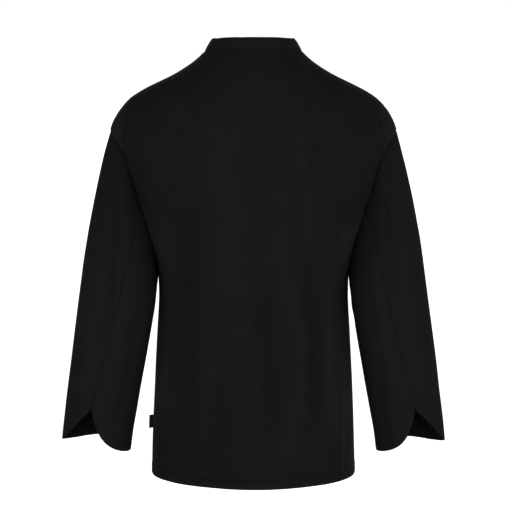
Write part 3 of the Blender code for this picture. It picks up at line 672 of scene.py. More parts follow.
@lru_cache(maxsize=None)
def knit_material():
    """Black mesh knit: staggered small holes in columns of loops."""
    cloth = bpy.context.scene.jacket_cloth
    look = Look("black_mesh_knit")
    flat, across, along = look.flat_place()
    wide = cloth.knit_pitch
    row = look.math("DIVIDE", along, wide * KNIT_ROW)
    odd = look.math("MODULO", look.math("FLOOR", row), 2.0)
    column = look.scaled(odd, 0.5, look.math("DIVIDE", across, wide))
    u, v = (look.math("SUBTRACT", look.math("FRACT", at), 0.5) for at in (column, row))
    u2, v2 = look.math("MULTIPLY", u, u), look.math("MULTIPLY", v, v)
    solid = look.step(look.math("SQRT", look.scaled(v2, KNIT_OVAL, u2)), *KNIT_HOLE)
    loops = look.ridges(across, wide * KNIT_LOOP)
    uneven = look.noise(look.place(), 0.035, 3.0)
    grain = look.noise(flat, 0.0045, 2.0)
    shade = look.mixed(KNIT_SHADE, uneven=uneven, grain=grain)
    shade = look.math("MULTIPLY", shade, look.scaled(solid, 0.5, 0.5))
    height = look.mixed(KNIT_HEIGHT, solid=solid, loops=loops, grain=grain, hem=look.hem_step())
    shade = look.shaped_shade(shade)
    return look.finish(cloth.knit_color, shade, 0.85, 0.03, height, 0.0004, 0.5)


@lru_cache(maxsize=None)
def thread_material():
    """Black sewing thread, a little glossier than the cloth."""
    look = Look("black_thread")
    twist = look.noise(look.place(), 0.0012, 1.0)
    return look.finish((0.0105,) * 3, look.scaled(twist, 0.5, 0.75), 0.6, 0.06, twist, 0.0001, 0.4)


@lru_cache(maxsize=None)
def button_material():
    """Satin black moulded plastic with faint scuffs."""
    look = Look("black_button")
    shade = look.scaled(look.noise(look.place(), 0.006, 3.0), 0.5, 0.75)
    scuff = look.noise(look.place(), 0.0009, 3.0)
    rough = look.scaled(scuff, 0.22, 0.24)
    return look.finish((0.0125,) * 3, shade, rough, 0.35, scuff, 0.00004, 0.3)


@lru_cache(maxsize=None)
def tab_material():
    """Black woven tape with fine ribs across it."""
    look = Look("black_tape")
    rib = look.ridges(look.node("SeparateXYZ", {0: look.place()})[2], 0.0007)
    return look.finish((0.0125,) * 3, look.scaled(rib, 0.5, 0.8), 0.6, 0.15, rib, 0.00015, 0.6)


# Panels


def face_sides(part, side):
    """The sides that the faces at an edge or a corner are on."""
    return {face[side] for face in part.link_faces}


@lru_cache(maxsize=None)
def cage(node):
    """The solid of a panel as faces with four corners, as a mesh that others can read.

    Its faces carry which side they are on: the outside, the inside or the rim.
    """
    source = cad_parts[node].data
    source.calc_loop_triangles()
    corners = read(source.loop_triangles, "vertices", 3, int)
    mesh = bpy.data.meshes.new(f"{node}_cage")
    mesh.from_pydata(mesh_points(source).tolist(), [], corners.tolist())
    shape = bmesh.new()
    shape.from_mesh(mesh)
    bmesh.ops.remove_doubles(shape, verts=shape.verts, dist=MERGE)
    bmesh.ops.join_triangles(
        shape,
        faces=shape.faces,
        angle_face_threshold=JOIN_ANGLE,
        angle_shape_threshold=math.pi,
        topology_influence=GRID_PULL,
    )
    side = shape.faces.layers.int.new("side")
    for face in shape.faces:
        face[side] = RIM
    largest = max(shape.faces, key=lambda face: face.calc_area())
    first = flood(largest)
    rest = [face for face in shape.faces if face not in first]
    second = flood(max(rest, key=lambda face: face.calc_area()))
    middle = largest.calc_center_median()
    centre = Vector((0.0, 0.0, middle.z))
    if node in SLEEVES:
        centre.x, centre.y = sleeve_centre(middle.x, middle.z)
    if largest.normal.dot(middle - centre) < 0:
        first, second = second, first
    for faces, kind in ((first, OUTSIDE), (second, INSIDE)):
        for face in faces:
            face[side] = kind
    shape.to_mesh(mesh)
    shape.free()
    return mesh


def flood(start):
    """The faces that are joined to a face without a sharp edge between them."""
    found, front = {start}, [start]
    while front:
        for edge in front.pop().edges:
            for other in edge.link_faces:
                if other not in found and edge.calc_face_angle(math.pi) < SHARP_ANGLE:
                    found.add(other)
                    front.append(other)
    return found


def sleeve_middle(height):
    """The left sleeve's middle line at heights: x and y, in millimetres."""
    rows = np.array(SLEEVE_AXIS)
    return np.interp(height, rows[:, 0], rows[:, 1]), np.interp(height, rows[:, 0], rows[:, 2])


def sleeve_centre(side, height):
    """The middle of the sleeve on a side at a height, in metres."""
    x, y = sleeve_middle(height / MM)
    return math.copysign(x, side) * MM, y * MM


@lru_cache(maxsize=None)
def border(node):
    """The corners of a panel's outer edge, in order: their numbers, places and normals."""
    shape = bmesh.new()
    shape.from_mesh(cage(node))
    side = shape.faces.layers.int["side"]
    follow = {}
    for face in shape.faces:
        for loop in face.loops if face[side] == OUTSIDE else ():
            if loop.link_loop_radial_next.face[side] != OUTSIDE:
                follow[loop.vert.index] = loop.link_loop_next.vert.index
    order = [min(follow)]
    while follow[order[-1]] != order[0]:
        order.append(follow[order[-1]])
    shape.verts.ensure_lookup_table()
    points = np.array([shape.verts[k].co for k in order])
    normals = []
    for k in order:
        faces = [face for face in shape.verts[k].link_faces if face[side] == OUTSIDE]
        normals.append(unit(np.sum([face.normal for face in faces], axis=0)))
    shape.free()
    return order, points, np.array(normals)


@lru_cache(maxsize=None)
def border_tree(*nodes):
    """A search tree of the outer edges of panels."""
    return search_tree(np.concatenate([border(node)[1] for node in nodes]))


def edge_run(node, wanted):
    """The stretch of a panel's outer edge that passes a test, as places and normals.

    The test reads a place in millimetres and the names of the panels that are met there.
    """
    _, points, normals = border(node)
    mine = np.array([wanted(place / MM, row[3]) for place, row in zip(points, meetings(node))])
    start = int(np.flatnonzero(mine & ~np.roll(mine, 1))[0])
    mine = np.roll(mine, -start)
    count = len(mine) if mine.all() else int(np.argmin(mine))
    return np.roll(points, -start, axis=0)[:count], np.roll(normals, -start, axis=0)[:count]


def dense_tree(*lines):
    """A search tree of lines of points, filled in between them."""
    return search_tree(np.concatenate([evenly(line, FINE_STEP)[0] for line in lines]))


def evenly(line, pitch, *others):
    """Points on a smooth line through some points, a pitch apart, and other values there."""
    keys = np.concatenate([[0], np.cumsum(np.linalg.norm(np.diff(line, axis=0), axis=1))])
    at = np.arange(pitch / 2, keys[-1], pitch)
    return [
        np.stack([smooth_line(keys, column)(at) for column in values.T], axis=1)
        for values in (line, *others)
    ]


@lru_cache(maxsize=None)
def meetings(node):
    """What a panel meets at each corner of its outer edge.

    For each: the corner's number, the place and the normal that the panels there share, the
    names of the others, and how far the edge turns.
    """
    order, points, normals = border(node)
    steps = unit(points - np.roll(points, 1, axis=0))
    turns = np.arccos(np.clip(np.sum(steps * np.roll(steps, -1, axis=0), axis=1), -1, 1))
    found = []
    for k, point, normal, turn in zip(order, points, normals, turns):
        places, ways, names = [point], [normal], []
        for other in PANELS:
            _, at, away = border_tree(other).find(point)
            if other != node and away < NEAR:
                places.append(border(other)[1][at])
                ways.append(border(other)[2][at])
                names.append(other)
        found.append((k, np.mean(places, axis=0), unit(np.sum(ways, axis=0)), names, turn))
    return found


def armhole_share(height):
    """How deep the armhole seam lies at a height: less towards the armpit."""
    low, high, least = ARMHOLE_FADE
    return least + (1 - least) * ease((height - low) / (high - low))


def refine(node, name):
    """The panel's cage with rolled borders and finer faces, as a new object.

    Its edges lie on its neighbours' and sink between them.
    """
    cloth = bpy.context.scene.jacket_cloth
    mesh = cage(node).copy()
    mesh.name = name
    obj = new_object(name, mesh)
    unwrap(obj)
    shape = bmesh.new()
    shape.from_mesh(mesh)
    side = shape.faces.layers.int["side"]
    crease = shape.edges.layers.float.new("crease_edge")
    names = ("crease_vert", "worn", "seam", "inside")
    pinned, worn, seam, inside = (shape.verts.layers.float.new(each) for each in names)
    for edge in shape.edges:
        edge[crease] = float(len(face_sides(edge, side)) == 2)
    rim, rounded = sink_border(shape, node, pinned, worn, seam)
    outer = [face for face in shape.faces if face[side] == OUTSIDE]
    for reach in (cloth.roll, cloth.roll_run - cloth.roll):
        made = bmesh.ops.inset_region(
            shape, faces=outer, thickness=reach, use_even_offset=True, use_interpolate=True
        )
        for face in made["faces"]:
            face[side] = OUTSIDE
    for vert in shape.verts:
        sides = face_sides(vert, side)
        if RIM not in sides:
            vert[worn], vert[seam], vert[pinned] = 0.0, 0.0, 0.0
        # The inside's points carry painted shade.
        vert[inside] = float(INSIDE in sides)
    round_over(shape, rim, rounded)
    for vert, sink in rim.items():
        vert.co -= sink
    shape.to_mesh(mesh)
    shape.free()
    modifier = obj.modifiers.new("finer", "SUBSURF")
    modifier.levels = modifier.render_levels = cloth.levels
    modifier.boundary_smooth = "PRESERVE_CORNERS"
    fit_to_cage(obj)
    bpy.ops.object.modifier_apply(modifier=modifier.name)
    return obj


def sink_border(shape, node, pinned, worn, seam):
    """Lay a panel's outer edge on its neighbours'.

    Returns how far its corners, and the inner wall's beside them, are to sink, and the corners
    that the cloth beside them rounds over to, with what they sink.
    """
    cloth = bpy.context.scene.jacket_cloth
    side = shape.faces.layers.int["side"]
    shape.verts.ensure_lookup_table()
    rim, rounded = {}, []
    for (k, place, normal, near, turn), beyond in zip(meetings(node), border_outward(node)):
        vert = shape.verts[k]
        vert.co = Vector(place)
        sleeve = node in SLEEVES
        armhole = any((name in SLEEVES) != sleeve for name in near)
        if near:
            vert.co += Vector(beyond) * SEAM_OVERLAP * MM
            depth = cloth.armhole_sink[int(place[0] < 0)] * armhole_share(place[2] / MM)
            depth = depth if armhole else cloth.seam_sink
            # Seams carry painted shade, full at the armholes and a share at the others, and some
            # wear.
            vert[worn], vert[seam] = SEAM_WORN, 1.0 if armhole else SEAM_PAINTED_SHARE
        else:
            depth, vert[worn] = cloth.edge_sink, 1.0
        sink = Vector(normal) * depth
        if armhole and sleeve:
            rounded.append((Vector(place), sink))
        if len(near) > 1 or (near and turn > CORNER_ANGLE):
            vert[pinned] = 1.0
        for edge in vert.link_edges:
            if face_sides(edge, side) == {RIM}:
                rim[edge.other_vert(vert)] = sink
        rim[vert] = sink
    return rim, rounded


def border_outward(node):
    """The way out of a panel, along the cloth, at each corner of its outer edge."""
    _, points, normals = border(node)
    runs = np.roll(points, -1, axis=0) - np.roll(points, 1, axis=0)
    return unit(np.cross(runs, normals))


def round_over(shape, rim, edge):
    """Let the cloth near an edge turn in towards it, by a share of what the edge sinks."""
    for vert in shape.verts:
        if edge and vert not in rim:
            place, sink = min(edge, key=lambda row: (row[0] - vert.co).length_squared)
            vert.co -= sink * math.exp(-((place - vert.co).length / SLEEVE_ROUNDING))


def fit_to_cage(obj):
    """Swell the cage until the finer surface runs through the corners that the cage has now."""
    wanted = mesh_points(obj.data)
    for _ in range(FIT_ROUNDS):
        finer = obj.evaluated_get(bpy.context.evaluated_depsgraph_get())
        move = wanted - mesh_points(finer.to_mesh())[: len(wanted)]
        finer.to_mesh_clear()
        length = np.linalg.norm(move, axis=1, keepdims=True)
        move *= np.minimum(1, FIT_MOST / np.maximum(length, MERGE))
        set_points(obj.data, mesh_points(obj.data) + move)


def unwrap(obj):
    """Lay the panel flat in its UV map, in metres, with the grain running up."""
    mesh = obj.data
    mesh.uv_layers.new(name="flat")
    shape = bmesh.new()
    shape.from_mesh(mesh)
    side = shape.faces.layers.int["side"]
    for edge in shape.edges:
        edge.seam = len(face_sides(edge, side)) == 2
    shape.to_mesh(mesh)
    shape.free()
    edit_all()
    bpy.ops.uv.unwrap(method="ANGLE_BASED", margin=UNWRAP_MARGIN)
    bpy.ops.object.mode_set(mode="OBJECT")
    uv = read(mesh.uv_layers["flat"].uv, "vector", 2)
    starts, counts = (read(mesh.polygons, f"loop_{name}", kind=int) for name in ("start", "total"))
    sides = read(mesh.attributes["side"].data, "value", kind=int)
    heights = mesh_points(mesh)[read(mesh.loops, "vertex_index", kind=int), 2]
    areas = read(mesh.polygons, "area")
    loop_side = np.repeat(sides, counts)
    scale = 1.0
    for kind in (OUTSIDE, INSIDE, RIM):
        mine = loop_side == kind
        if kind != RIM:
            flat = flat_area(uv, starts[sides == kind], counts[sides == kind])
            scale = math.sqrt(areas[sides == kind].sum() / flat)
            at = np.column_stack([uv[mine], np.ones(mine.sum())])
            x, y = unit(np.linalg.lstsq(at, heights[mine], rcond=None)[0][:2])
            uv[mine] = uv[mine] @ np.array(((y, -x), (x, y))).T
        uv[mine] *= scale
    mesh.uv_layers["flat"].uv.foreach_set("vector", uv.ravel())


def flat_area(uv, starts, counts):
    """The area of faces in the UV map."""
    total = 0.0
    for start, count in zip(starts, counts):
        ring = uv[start : start + count]
        after = np.roll(ring, -1, axis=0)
        total += abs(np.sum(ring[:, 0] * after[:, 1] - after[:, 0] * ring[:, 1])) / 2
    return total


def fold_rise(along, height, folds):
    """How far the folds lift the cloth at places along it and heights, in millimetres."""
    rise = np.zeros(len(height))
    for half_width, lift, path in folds:
        keys = np.array(path, float)[::-1]
        away = (along - smooth_line(keys[:, 1], keys[:, 0])(height)) / half_width
        low, high = keys[0, 1], keys[-1, 1]
        ends = ease((height - low + FOLD_END / 2) / FOLD_END)
        ends = ends * ease((high + FOLD_END / 2 - height) / FOLD_END)
        rise += lift * ends * np.exp(-(away**2))
    return rise


def ripple(points):
    """How far the slow unevenness of the cloth lifts points, in millimetres."""
    rise = np.zeros(len(points))
    for depth, across, along in RIPPLES:
        sizes = np.array((across, across, along)) * MM
        rise += [depth * noise_at(Vector(place)) for place in points / sizes]
    return rise


def calm(points, *nodes):
    """1, less near the edges of panels that hold the cloth, and 0 at them."""
    return ease(distance_to(points, border_tree(*nodes)) / (FOLD_CALM * MM))


def lift_cloth(obj, points, away, rise, painted_light_rise):
    """Move a panel's points out by their rise in millimetres, and note their painted light and shade
    as a rise.
    """
    set_points(obj.data, points + unit(away) * rise[:, None] * MM)
    note(obj, "rise", painted_light_rise)


def fold_body(obj):
    """Move a torso panel's points out and in by the body's folds."""
    points = mesh_points(obj.data)
    x, y, height = (points / MM).T
    rise = np.zeros(len(points))
    for side in (1, -1):
        mine = (y * side > 0).nonzero()[0]
        folds = [row[1:] for row in BODY_FOLDS if row[0] == side]
        rise[mine] = fold_rise(x[mine], height[mine], folds)
    rise = rise * bpy.context.scene.jacket_cloth.fold_depth * ease(np.abs(y) / FOLD_FULL)
    rise = (rise + ripple(points)) * calm(points, *SLEEVES, "collar")
    edges = [edge_run(node, lambda place, near: place[2] < HEM_BELOW)[0] for node in HEMMED]
    hem = distance_to(points, dense_tree(*edges))
    rise += bpy.context.scene.jacket_sewing.hem_rise / MM * hem_share(hem)
    ridge = side_ridge(points) if "back" in obj.name else 0 * height
    note(obj, "hem", hem)
    note(obj, "facing", np.ones(len(points)))
    away = np.stack([points[:, 0] * SIDEWAYS, points[:, 1], 0 * height], axis=1)
    # Painted light and shade as a rise: the folds' own rise, a painted highlight on the side seam's
    # ridge, and painted light on the sides and beside the armholes.
    painted_light_rise = rise + ridge * RIDGE_PAINTED_HIGHLIGHT + painted_side_light(points) + painted_armpit_light(points, SLEEVES)
    lift_cloth(obj, points, away, rise + ridge, painted_light_rise)


def hem_share(hem):
    """1 on the folded hem, less at its very edge, and 0 above it."""
    top = bpy.context.scene.jacket_sewing.hem + HEM_STEP / 2 * MM
    return ease((top - hem) / (HEM_STEP * MM)) * ease(hem / (HEM_EDGE * MM))


def side_ridge(points):
    """How far the right side seam's raised stretch lifts the back panel, in millimetres."""
    low, grow, high, fade, inset, half_width, lift = SIDE_RIDGE
    seam = edge_run("back_panel", on_right_side_seam)[0]
    away = distance_to(points, dense_tree(seam)) / MM
    height = points[:, 2] / MM
    share = ease((high - height) / fade) * ease((height - low) / grow)
    return lift * share * np.exp(-(((away - inset) / half_width) ** 2))


def on_right_side_seam(place, near):
    """True on the back panel's edge where the right side seam runs."""
    return place[0] < 0 and place[2] < SIDE_SEAM_BELOW and "front_right" in near


def painted_side_light(points):
    """Painted light on the body's sides, where the sleeves shade them, as a rise in millimetres."""
    side = np.abs(points[:, 0] / MM) - SIDE_LIGHT_FROM
    share = np.clip(side / SIDE_LIGHT_OVER, 0, 1) ** 2
    low, high = SIDE_LIGHT_HEIGHTS
    height = points[:, 2] / MM
    return SIDE_PAINTED_LIGHT * share * ease((high - height) / FOLD_END) * ease((height - low) / FOLD_END / 2)


def painted_armpit_light(points, others):
    """Painted light beside the lower armhole, which others meet, as a rise in millimetres."""
    lift, reach, low, high = ARMPIT_PAINTED_LIGHT
    away = distance_to(points, border_tree(*others)) / MM / reach
    return lift * np.exp(-(away**2)) * ease((high - points[:, 2] / MM) / (high - low))


def fold_sleeve(obj):
    """Move a sleeve panel's points out and in by the sleeve's folds."""
    points = mesh_points(obj.data)
    _, part, name, _ = obj.name.split("_")
    side = SIDES[name]
    x, y, height = (points / MM).T
    middle_x, middle_y = sleeve_middle(height)
    across, back = x - side * middle_x, y - middle_y
    angle = np.degrees(np.arctan2(back, side * across))
    folds = [row[1:] for row in SLEEVE_FOLDS if row[0] == side]
    rise = sum(fold_rise(angle + turn, height, folds) for turn in (-360, 0, 360))
    rise = rise * bpy.context.scene.jacket_cloth.fold_depth + ripple(points)
    rise *= calm(points, *TORSO)
    row_height = facing_height(np.radians(angle), *CUFF_ROWS[part][:2])
    note(obj, "facing", points[:, 2] - row_height * MM)
    note(obj, "hem", np.ones(len(points)))
    away = np.stack([across, back, 0 * height], axis=1)
    # Painted light and shade as a rise: the folds' own rise, painted shade on the whole sleeve and
    # painted light beside the armholes.
    lift_cloth(obj, points, away, rise, rise + SLEEVE_PAINTED_SHADE + painted_armpit_light(points, TORSO))


def facing_height(angle, outer_height, back_height):
    """How high the cuff's facing reaches at an angle round the sleeve."""
    return outer_height + (back_height - outer_height) * np.sin(angle)


def plain(obj):
    """A panel with no hem, facing or folds."""
    for name in ("hem", "facing"):
        note(obj, name, np.ones(len(obj.data.vertices)))


def make_panel(node, shape):
    """One cloth panel: refined, folded and rolled at its seams."""
    slot, flat = PANELS[node]
    obj = refine(node, f"{node}_cloth")
    shape(obj)
    for name in ("crease_edge", "crease_vert", "side"):
        obj.data.attributes.remove(obj.data.attributes[name])
    bpy.ops.object.shade_smooth_by_angle(angle=SHADE_ANGLE)
    material = knit_material() if slot == "mesh_knit" else twill_material()
    finish_piece(obj, material, slot, node)


# Sewing


def skin(node):
    """A search tree of a finished panel's faces, for what lies on them."""
    mesh = bpy.data.objects[f"{node}_cloth"].data
    return BVHTree.FromPolygons(
        mesh_points(mesh).tolist(), [list(face.vertices) for face in mesh.polygons]
    )


def lay(tree, places, ways, above=LAY_REACH, below=LAY_REACH):
    """Drop places onto the cloth against their ways; those that miss it are left out."""
    found = []
    for place, way in zip(places, unit(ways)):
        hit, normal, _, _ = tree.ray_cast(Vector(place + way * above), Vector(-way), above + below)
        if hit is not None:
            found.append((hit, normal))
    return np.array([hit for hit, _ in found]), np.array([normal for _, normal in found])


def sewn_row(tree, line, ways):
    """The frames of a row of stitches along a line on the cloth."""
    sewing = bpy.context.scene.jacket_sewing
    places, normals = lay(tree, *evenly(line, sewing.pitch, ways))
    return stitch_frames(places, unit(np.gradient(places, axis=0)), normals, sewing.stitch)


def stitch_frames(places, runs, normals, length):
    """For each stitch its centre and its three axes, as long as the stitch is that way."""
    thread = bpy.context.scene.jacket_sewing.thread
    sides = unit(np.cross(normals, runs))
    ups = np.cross(runs, sides)
    axes = np.stack([runs * length, sides * thread, ups * thread], axis=1)
    return places + ups * thread * STITCH_STAND, axes


def inset_row(tree, node, wanted, reach):
    """The frames of a row of stitches that runs a reach inside a stretch of a panel's edge."""
    line, ways = edge_run(node, wanted)
    inward = unit(np.cross(ways, np.gradient(line, axis=0)))
    return sewn_row(tree, line + inward * reach, ways)


def ring_row(tree, side, outer_height, back_height, first, last):
    """The frames of a row of stitches round a sleeve, between two angles."""
    angles = np.radians(np.arange(first, last, RING_STEP))
    ways = np.stack([side * np.cos(angles), np.sin(angles), 0 * angles], axis=1)
    heights = facing_height(angles, outer_height, back_height) * MM
    centres = np.array([(*sleeve_centre(side, height), height) for height in heights])
    return sewn_row(tree, *lay(tree, centres, ways, SLEEVE_REACH, 0))


@lru_cache(maxsize=None)
def stitch_shape():
    """One stitch along X with a size of 1 each way: its points and faces."""
    bpy.ops.object.select_all(action="DESELECT")
    bpy.ops.mesh.primitive_uv_sphere_add(segments=6, ring_count=4, radius=0.5)
    stitch = bpy.context.object
    edit_all()
    bpy.ops.transform.rotate(value=math.pi / 2, orient_axis="Y", center_override=(0, 0, 0))
    bpy.ops.object.mode_set(mode="OBJECT")
    points = mesh_points(stitch.data)
    faces = [list(face.vertices) for face in stitch.data.polygons]
    bpy.data.objects.remove(stitch)
    return points, faces


def sew(name, slot, rows):
    """One piece of all the stitches of some rows."""
    points, faces = stitch_shape()
    centres, axes = (np.concatenate([row[k] for row in rows]) for k in (0, 1))
    placed = (np.einsum("ki,nij->nkj", points, axes) + centres[:, None]).reshape(-1, 3)
    copies = [[n * len(points) + k for k in face] for n in range(len(centres)) for face in faces]
    mesh = bpy.data.meshes.new(name)
    mesh.from_pydata(placed.tolist(), [], copies)
    obj = new_object(name, mesh)
    bpy.ops.object.shade_smooth()
    finish_piece(obj, thread_material(), slot)


# Buttons and tab


def button_place(node):
    """Where a button sits: the matrix that takes a button made at the origin there, its radius."""
    points = mesh_points(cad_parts[node].data)
    centre = points.mean(axis=0)
    _, _, axes = np.linalg.svd(points - centre, full_matrices=False)
    up = axes[2] * (-1 if axes[2][1] > 0 else 1)
    across = unit(np.array((1.0, 0.0, 0.0)) - up * up[0])
    away = (points - centre) @ up
    off = points - centre - away[:, None] * up
    place = Matrix(np.column_stack([across, np.cross(up, across), up]).tolist()).to_4x4()
    place.translation = Vector(centre + up * away.min())
    return place, np.linalg.norm(off, axis=1).max()


def turned_button(radius):
    """A button at the origin, facing up: a turned disc with a raised rim and four holes."""
    bpy.ops.object.select_all(action="DESELECT")
    start = BUTTON_SIDE[0][0]
    bpy.ops.mesh.primitive_circle_add(vertices=40, radius=radius * start, fill_type="NGON")
    button = bpy.context.object
    edit_all()
    for (share, height), (new_share, new_height) in zip(BUTTON_SIDE, BUTTON_SIDE[1:]):
        rise = (0, 0, (new_height - height) * MM)
        bpy.ops.mesh.extrude_region_move(TRANSFORM_OT_translate={"value": rise})
        bpy.ops.transform.resize(value=(new_share / share, new_share / share, 1))
    bpy.ops.mesh.select_all(action="SELECT")
    bpy.ops.mesh.normals_make_consistent(inside=False)
    bpy.ops.object.mode_set(mode="OBJECT")
    cut_holes(button)
    return button


def cut_holes(button):
    """Drill the four holes and round their edges."""
    bpy.ops.object.select_all(action="DESELECT")
    cutters = []
    for x in (-1, 1):
        for y in (-1, 1):
            bpy.ops.mesh.primitive_cylinder_add(
                vertices=16,
                radius=HOLE_RADIUS * MM,
                depth=10 * MM,
                location=(x * HOLE_OFFSET * MM, y * HOLE_OFFSET * MM, MM),
            )
            cutters.append(bpy.context.object)
    cutter = joined(cutters)
    select_only(button)
    drill = button.modifiers.new("holes", "BOOLEAN")
    drill.operation, drill.solver, drill.object = "DIFFERENCE", "EXACT", cutter
    bpy.ops.object.modifier_apply(modifier=drill.name)
    bpy.data.objects.remove(cutter)
    soften(button, BUTTON_EDGE)


def soften(obj, width):
    """Round the sharp edges of a piece."""
    rounding = obj.modifiers.new("soft_edges", "BEVEL")
    rounding.width, rounding.segments, rounding.limit_method = width * MM, 2, "ANGLE"
    rounding.angle_limit = SHADE_ANGLE
    bpy.ops.object.modifier_apply(modifier=rounding.name)


def pick(obj, kind, wanted):
    """In edit mode, select only the faces, edges or corners that pass a test."""
    bpy.ops.mesh.select_mode(type=kind)
    bpy.ops.mesh.select_all(action="DESELECT")
    shape = bmesh.from_edit_mesh(obj.data)
    for part in {"FACE": shape.faces, "EDGE": shape.edges, "VERT": shape.verts}[kind]:
        if wanted(part):
            part.select_set(True)
    bmesh.update_edit_mesh(obj.data)


def button_thread():
    """The thread of a button at the origin: two pairs of strands between its holes."""
    strands = []
    base = STRAND_BASE * MM
    for y in (-1, 1):
        for pair in (-1, 1):
            middle = (y * HOLE_OFFSET + pair * STRAND * 0.5) * MM
            bpy.ops.object.select_all(action="DESELECT")
            bpy.ops.mesh.primitive_circle_add(
                vertices=8,
                radius=STRAND / 2 * MM,
                fill_type="NGON",
                location=(-HOLE_OFFSET * MM, middle, base),
            )
            strands.append(bpy.context.object)
            bpy.ops.object.transform_apply(location=True)
            edit_all()
            bpy.ops.mesh.spin(steps=10, angle=math.pi, center=(0, middle, base), axis=(0, 1, 0))
            bpy.ops.mesh.select_all(action="SELECT")
            bpy.ops.mesh.normals_make_consistent(inside=False)
            bpy.ops.transform.resize(value=(1, 1, STRAND_FLAT), center_override=(0, 0, base))
            bpy.ops.object.mode_set(mode="OBJECT")
    return joined(strands)


def placed_copy(source, name, place):
    """A copy of an object with its own mesh, moved to its place within the mesh."""
    mesh = source.data.copy()
    mesh.transform(place)
    mesh.name = name
    return new_object(name, mesh)


# Operators


class JACKET_OT_stage(bpy.types.Operator):
    """Make the floor, the light and the camera"""

    bl_idname = "jacket.stage"
    bl_label = "Stage"

    def execute(self, context):
        stage = context.scene.jacket_stage
        radius = stage.floor_radius
        pale = {"Base Color": (*stage.floor_color, 1), "Roughness": 0.9}
        bpy.ops.object.select_all(action="DESELECT")
        bpy.ops.mesh.primitive_circle_add(
            vertices=96, radius=radius, fill_type="NGON", location=(0, 0, stage.floor_height)
        )
        bpy.ops.object.transform_apply(location=True, rotation=True, scale=True)
        self.surround(context.object, "floor", "pale_floor", 0.9, pale)
        bpy.ops.object.select_all(action="DESELECT")
        bpy.ops.mesh.primitive_uv_sphere_add(segments=48, ring_count=24, radius=radius)
        dark = {"Base Color": (0, 0, 0, 1)}
        self.surround(context.object, "backdrop", "white_backdrop", 1.0, dark)
        context.object.visible_shadow = False
        self.add_lights(context, stage)
        self.add_camera(context, stage)
        return {"FINISHED"}

    def surround(self, obj, name, material, glow, values):
        """Finish the floor or the backdrop, which glow white and light nothing else."""
        obj.name = name
        look = Look(material)
        glowing = {"Emission Color": (1, 1, 1, 1), "Emission Strength": glow}
        look.give(look.shader, {**values, **glowing})
        obj.data.materials.append(look.material)
        obj.visible_diffuse = obj.visible_glossy = False

    def add_lights(self, context, stage):
        """The even light from all round, and the soft lamps."""
        world = bpy.data.worlds.new("studio")
        context.scene.world = world
        world.use_nodes = True
        background = world.node_tree.nodes["Background"]
        background.inputs["Color"].default_value = (1, 1, 1, 1)
        background.inputs["Strength"].default_value = stage.air
        for name, azimuth, elevation, softness, strength in LIGHTS:
            lamp = bpy.data.lights.new(name, "SUN")
            lamp.energy = strength * stage.light
            lamp.angle = math.radians(softness)
            light = bpy.data.objects.new(name, lamp)
            a, e = math.radians(azimuth), math.radians(elevation)
            towards = Vector((math.sin(a) * math.cos(e), math.cos(a) * math.cos(e), math.sin(e)))
            light.rotation_euler = towards.to_track_quat("Z", "Y").to_euler()
            light.location = towards * 4
            context.scene.collection.objects.link(light)

    def add_camera(self, context, stage):
        """The camera behind the wearer."""
        camera = bpy.data.cameras.new("camera")
        camera.lens = stage.lens
        camera.sensor_width = 36
        camera.clip_end = 100
        obj = bpy.data.objects.new("camera", camera)
        obj.location = CAMERA_EYE
        aim = Vector(CAMERA_AIM) - Vector(CAMERA_EYE)
        obj.rotation_euler = aim.to_track_quat("-Z", "Y").to_euler()
        context.scene.collection.objects.link(obj)
        context.scene.camera = obj
        context.scene.view_settings.view_transform = "Standard"


class JACKET_OT_back_panel(bpy.types.Operator):
    """Make the back panel of mesh knit"""

    bl_idname = "jacket.back_panel"
    bl_label = "Back panel"

    def execute(self, context):
        make_panel("back_panel", fold_body)
        return {"FINISHED"}


class JACKET_OT_shoulder_insets(bpy.types.Operator):
    """Make the two shoulder insets"""

    bl_idname = "jacket.shoulder_insets"
    bl_label = "Shoulder insets"

    def execute(self, context):
        for name in SIDES:
            make_panel(f"shoulder_inset_{name}", fold_body)
        return {"FINISHED"}


class JACKET_OT_fronts(bpy.types.Operator):
    """Make the two fronts"""

    bl_idname = "jacket.fronts"
    bl_label = "Fronts"

    def execute(self, context):
        for name in SIDES:
            make_panel(f"front_{name}", fold_body)
        return {"FINISHED"}


class JACKET_OT_sleeves(bpy.types.Operator):
    """Make the outer and under sleeves of both arms"""

    bl_idname = "jacket.sleeves"
    bl_label = "Sleeves"

    def execute(self, context):
        for name in SIDES:
            for part in CUFF_ROWS:
                make_panel(f"sleeve_{part}_{name}", fold_sleeve)
        return {"FINISHED"}


class JACKET_OT_collar(bpy.types.Operator):
    """Make the stand collar"""

    bl_idname = "jacket.collar"
    bl_label = "Collar"

    def execute(self, context):
        make_panel("collar", plain)
        return {"FINISHED"}


class JACKET_OT_stitching(bpy.types.Operator):
    """Sew the hem, the left front's edge, the collar and the cuff facings"""

    bl_idname = "jacket.stitching"
    bl_label = "Stitching"

    def execute(self, context):
        sewing = context.scene.jacket_sewing
        for node in HEMMED:
            tree = skin(node)
            rows = [inset_row(tree, node, self.on_hem, reach) for reach in sewing.hem_rows]
            if node == "front_left":
                rows.append(inset_row(tree, node, self.on_front_edge, sewing.edge))
            sew(f"{node}_stitches", PANELS[node][0], rows)
        row = inset_row(skin("collar"), "collar", self.on_loose_edge, sewing.edge)
        sew("collar_stitches", "twill", [row])
        for name, side in SIDES.items():
            rows = []
            for part, place in CUFF_ROWS.items():
                rows.append(ring_row(skin(f"sleeve_{part}_{name}"), side, *place))
            sew(f"cuff_stitches_{name}", "twill", rows)
        return {"FINISHED"}

    @staticmethod
    def on_hem(place, near):
        return place[2] < HEM_BELOW

    @staticmethod
    def on_front_edge(place, near):
        return place[0] < 0 and not near and place[2] > HEM_BELOW

    @staticmethod
    def on_loose_edge(place, near):
        return not near


